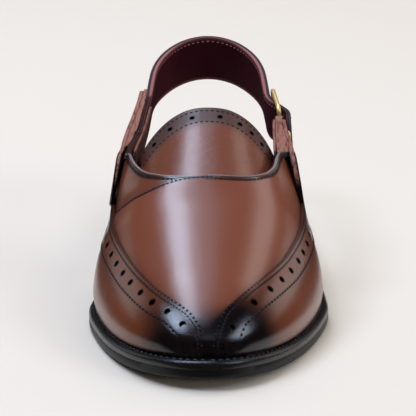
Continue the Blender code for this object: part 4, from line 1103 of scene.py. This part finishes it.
(frontX, frontStation), (backX, backStation), corner = buckle["front"], buckle["back"], buckle["corner"]
halfHigh, halfLong = heelStrap["width"] / 2 + buckle["over"], (backStation - frontStation) / 2
framePoints = []
for quarterTurn, (backSign, upSign) in enumerate(((1, 1), (-1, 1), (-1, -1), (1, -1))):
    for turn in np.linspace(0, np.pi / 2, 9) + quarterTurn * np.pi / 2:
        run = backSign * (halfLong - corner) + corner * math.cos(turn)
        height = upSign * (halfHigh - corner) + corner * math.sin(turn)
        share = (run / halfLong + 1) / 2
        station = frontStation + 2 * halfLong * share
        x = frontX + (backX - frontX) * share
        framePoints.append((x - heelStrap["lean"] * height, station, strapMiddle(station) + height))
tubePiece(
    "buckleFrame", np.array(framePoints), buckle["wire"], brass, buckle["around"], ("buckle_frame",), True
)

eye, (tipX, tipStation) = buckle["eye"], buckle["prongEnd"]
prongPlan = [  # round the front bar, then over the frame to its far bar
    (frontX + eye * math.cos(t), frontStation + eye * math.sin(t)) for t in np.radians(np.linspace(-60, -270, 20))
]
for share in np.linspace(0.08, 1, 16):
    x = frontX + eye * (1 - share) + (tipX - frontX) * share + buckle["bow"] * math.sin(share * np.pi)
    prongPlan.append((x, frontStation + (tipStation - frontStation) * share))
prongLine = np.array([(x, s, strapMiddle(s)) for x, s in prongPlan])
tubePiece("buckleProng", prongLine, buckle["prong"], brass, buckle["prongAround"], ("buckle_prong",))

rivetHalf, rivetHigh = (rivet["outer"] - rivet["inner"]) / 2, strapLine(rivet["station"]) - rivet["drop"]
rivetPlace = np.array([(rivet["inner"] + rivet["outer"]) / 2, rivet["station"], rivetHigh])
rivetProfile = [
    (rivet["head"] * math.sin(t), rivetHalf + rivet["dome"] * math.cos(t)) for t in np.linspace(0.02, np.pi / 2, 8)
]
rivetProfile += [
    (rivet["head"] * rivet["rim"], rivetHalf - rivet["rimDeep"]), (rivet["shank"], rivetHalf - rivet["shankDeep"]),
    (rivet["shank"], -rivetHalf),
]
turn = np.linspace(0, 2 * np.pi, 32, endpoint=False)
rings = np.array([[(h, r * math.cos(t), r * math.sin(t)) for t in turn] for r, h in rivetProfile]) + rivetPlace
rivetFaces = loopFaces(len(rivetProfile), len(turn))
buildPiece("strapRivet", rings.reshape(-1, 3), rivetFaces, brass, ("strap_rivet",), sharp=40.0)
print("buckle and rivet ready")

# Sole: welt with its stitches, outsole, stacked heel and footbed

soleSteps = 220
welt = dict(
    toeWide=12.5, heelWide=5.0, deep=3.5, into=0.12, stitchIn=3.3, groove=0.3, grooveHalf=(0.6, 0.25), seamSink=0.7,
    roundEdge=2.0, roundTurns=(0.35, 0.7, 1.05, 1.3),
)
weltThread = dict(pitch=3.2, length=2.7, width=1.4, rise=0.6, lift=0.08, slant=0.2)
outsoleProfile = [  # inset and rise
    (1.2, 0.0), (0.7, 0.1), (0.3, 0.45), (0.05, 1.0), (0.0, 1.6), (0.0, 4.05), (0.12, 4.17)
]
heelBlock = dict(
    topInset=1.0, bottomInset=2.5, lifts=3, seam=0.22, topPiece=5.2,
    foot=((0.6, 0.0), (0.168, 0.012), (0.06, 0.04)),  # inset and share of the height
    lift=((0.0, -0.02), (1.0, -0.006), (1.0, 0.006), (0.0, 0.02)),  # share of the seam's depth, and of the height
)
footbed = dict(
    thick=4.5, stitchIn=4.0, stitchStart=150.0,
    profile=((0.0, 0.0), (0.0, 3.7), (0.12, 4.05), (0.4, 4.32), (0.9, 4.45), (2.0, 4.5)),  # inset and rise
)


def overSole(rise):  # height a distance above the sole's underside
    return lambda stations: soleBottom(stations) + rise


def soleRing(toeInset, heelInset, height, front=None):  # lateral side back, then medial side forward
    start = toeInset if front is None else front
    share = (1 - np.cos(np.linspace(0, np.pi, soleSteps))) / 2
    if front is not None:
        share = 1 - (1 - np.linspace(0, 1, soleSteps)) ** 2
    stations = start + (last["length"] - heelInset - start) * share
    medial, lateral = (
        np.stack([sign * soleHalf(stations, side, toeInset, heelInset), stations, height(stations)], -1)
        for side, sign in sides
    )
    return np.concatenate([lateral, medial[::-1]])


def capFaces(start, size):  # quads across a ring, from side to side
    return [(start + i, start + i + 1, start + size - 2 - i, start + size - 1 - i) for i in range(size // 2 - 1)]


def stackPiece(name, rings, finish, node, hollow=False):
    size = len(rings[0])
    if hollow:
        faces = loopFaces(len(rings), size, True)
    else:
        faces = loopFaces(len(rings), size)[:-2] + [quad[::-1] for quad in capFaces(0, size)]
        faces += capFaces((len(rings) - 1) * size, size)
    buildPiece(name, np.concatenate(rings), faces, finish, (node,), sharp=45.0)


def flatSeam(line):
    return line, np.tile((0, 0, 1.0), (len(line), 1))


weltRise, roundEdge, groove = sole["outsole"] + sole["gap"] + sole["welt"], welt["roundEdge"], welt["groove"]
stitchIn, (grooveTop, grooveFloor) = welt["stitchIn"], welt["grooveHalf"]
buried = welt["deep"] + welt["into"]
profile = [(welt["into"], buried), (0.0, welt["deep"]), (0.0, roundEdge)]  # inset and drop
profile += [(roundEdge * (1 - math.cos(t)), roundEdge * (1 - math.sin(t))) for t in welt["roundTurns"]]
profile += [(roundEdge, 0.0), (stitchIn - grooveTop, 0.0), (stitchIn - grooveFloor, groove)]
profile += [(stitchIn + grooveFloor, groove), (stitchIn + grooveTop, 0.0)]
rings = [soleRing(inset, inset, overSole(weltRise - drop)) for inset, drop in profile]
rings += [soleRing(welt["toeWide"], welt["heelWide"], overSole(weltRise - drop)) for drop in (0.0, buried)]
stackPiece("weltStrip", rings, weltBlack, "welt", True)
seam = soleRing(stitchIn, stitchIn, overSole(weltRise - groove * welt["seamSink"]))
weltSeam = flatSeam(np.concatenate([seam, seam[:1]]))
stitchPiece("weltStitches", [weltSeam], weltThread, blackThread)

rings = [soleRing(inset, inset, overSole(rise)) for inset, rise in outsoleProfile]
stackPiece("outsoleBody", rings, soleBlack, "outsole")


def heelRing(inset, share):  # share 0 at the ground, 1 under the outsole
    inset = inset + heelBlock["bottomInset"] + (heelBlock["topInset"] - heelBlock["bottomInset"]) * share
    return soleRing(inset, inset, lambda stations: (soleBottom(stations) - sole["gap"]) * share, sole["breast"])


topShare = heelBlock["topPiece"] / sole["rise"]
rings = [heelRing(inset, share) for inset, share in heelBlock["foot"]]
for k in range(heelBlock["lifts"]):
    share = topShare + (1 - topShare) * k / heelBlock["lifts"]
    rings += [heelRing(deep * heelBlock["seam"], share + shift) for deep, shift in heelBlock["lift"]]
rings.append(heelRing(0.0, 1.0))
stackPiece("heelStack", rings, soleBlack, "heel_block")

toeInset, heelInset = welt["toeWide"] + sole["gap"], welt["heelWide"] + sole["gap"]
low = sole["outsole"] + sole["gap"]
rings = [soleRing(toeInset + inset, heelInset + inset, overSole(low + rise)) for inset, rise in footbed["profile"]]
stackPiece("footbed", rings, footbedLeather, "insole")
inset = footbed["stitchIn"]
seam = soleRing(toeInset + inset, heelInset + inset, overSole(low + footbed["thick"]))
footbedSeam = flatSeam(seam[seam[:, 1] > footbed["stitchStart"]])
stitchPiece("footbedStitches", [footbedSeam], roseLook, roseThread)
print("sole ready")

# Floor, lights and camera

studio = dict(
    floor=(0.70, 0.625, 0.53), floorHalf=4.0, floorDrop=0.0004, pad=((-0.095, -0.148), (0.095, 0.17)),
    world=(1.0, 0.96, 0.92), worldPower=0.05, camera=(-0.0004, -1.2006, 0.3758), pitch=15.724, lens=233.8, sensor=36.0,
)
lamps = [  # name, place, tilt in degrees, width, length, power, colour, whether it shows in the shine
    ("keyStrip", (-0.30, 0.50, 1.50), (0, 0, 0), 0.30, 1.7, 18.0, (0.67, 0.79, 1.0), True),
    ("toePanel", (-0.80, -0.35, 1.45), (11, -26, 0), 0.5, 0.55, 12.0, (0.60, 0.74, 1.0), True),
    ("sidePanel", (0.85, 1.05, 1.45), (-30, 22, 0), 0.5, 0.9, 2.8, (1.0, 0.90, 0.86), True),
    ("toeSpot", (1.25, -0.65, 1.0), (20, 48, 0), 0.7, 0.7, 9.0, (0.75, 0.85, 1.0), True),
    ("tipPanel", (0.05, -1.0, 1.5), (30, 0, 0), 0.8, 0.5, 0.7, (0.75, 0.85, 1.0), True),
    ("wallLeft", (-1.5, 1.0, 0.7), (0, -90, 0), 1.0, 1.0, 2.8, (1.0, 0.97, 0.95), True),
    ("wallRight", (1.5, 1.0, 0.7), (0, 90, 0), 1.0, 1.0, 4.0, (1.0, 0.95, 0.90), True),
    ("backPanel", (0.0, 3.0, 2.0), (-57, 0, 0), 3.0, 1.5, 22.0, (1.0, 0.94, 0.88), False),
    ("fillPanel", (0.0, 0.3, 2.5), (0, 0, 0), 3.0, 3.0, 27.0, (1.0, 0.95, 0.90), False),
    ("frontFill", (0.8, -1.9, 0.7), (70, 0, 23), 1.6, 0.5, 10.0, (1.0, 0.95, 0.90), False),
]
floorPaint = plain("floorPaint", dict(waxed, colour=studio["floor"], bump=0.02, scale=120.0, low=0.7, high=0.8))
floorHalf, drop = studio["floorHalf"], -studio["floorDrop"]
corners = []
for (left, front), (right, back) in (((-floorHalf, -floorHalf), (floorHalf, floorHalf)), studio["pad"]):
    corners += [(left, front, drop), (right, front, drop), (right, back, drop), (left, back, drop)]
wideFaces = [(k, (k + 1) % 4, (k + 1) % 4 + 4, k + 4) for k in range(4)]
for name, faces in (("floorWide", wideFaces), ("floorPad", [(4, 5, 6, 7)])):
    mesh = bpy.data.meshes.new(name)
    mesh.from_pydata(corners, [], faces)
    mesh.materials.append(floorPaint)
    floor = bpy.data.objects.new(name, mesh)
    bpy.context.scene.collection.objects.link(floor)
    floor.visible_glossy = name == "floorPad"  # only the floor beside the shoe shows in its shine
world = bpy.data.worlds.new("studio")
world.use_nodes = True
background = world.node_tree.nodes["Background"].inputs
background["Color"].default_value = (*studio["world"], 1)
background["Strength"].default_value = studio["worldPower"]
bpy.context.scene.world = world
for name, place, tilt, width, length, power, colour, shine in lamps:
    light = bpy.data.lights.new(name, "AREA")
    light.shape = "RECTANGLE"
    light.size, light.size_y = width, length
    light.energy, light.color = power, colour
    lamp = bpy.data.objects.new(name, light)
    lamp.location = place
    lamp.visible_glossy = shine
    lamp.rotation_euler = [math.radians(t) for t in tilt]
    bpy.context.scene.collection.objects.link(lamp)
lens = bpy.data.cameras.new("camera")
lens.lens, lens.sensor_width = studio["lens"], studio["sensor"]
camera = bpy.data.objects.new("camera", lens)
camera.location = studio["camera"]
camera.rotation_euler = (math.radians(90 - studio["pitch"]), 0, 0)
bpy.context.scene.collection.objects.link(camera)
bpy.context.scene.camera = camera
bpy.context.scene.view_settings.view_transform = "Standard"
print("studio ready")
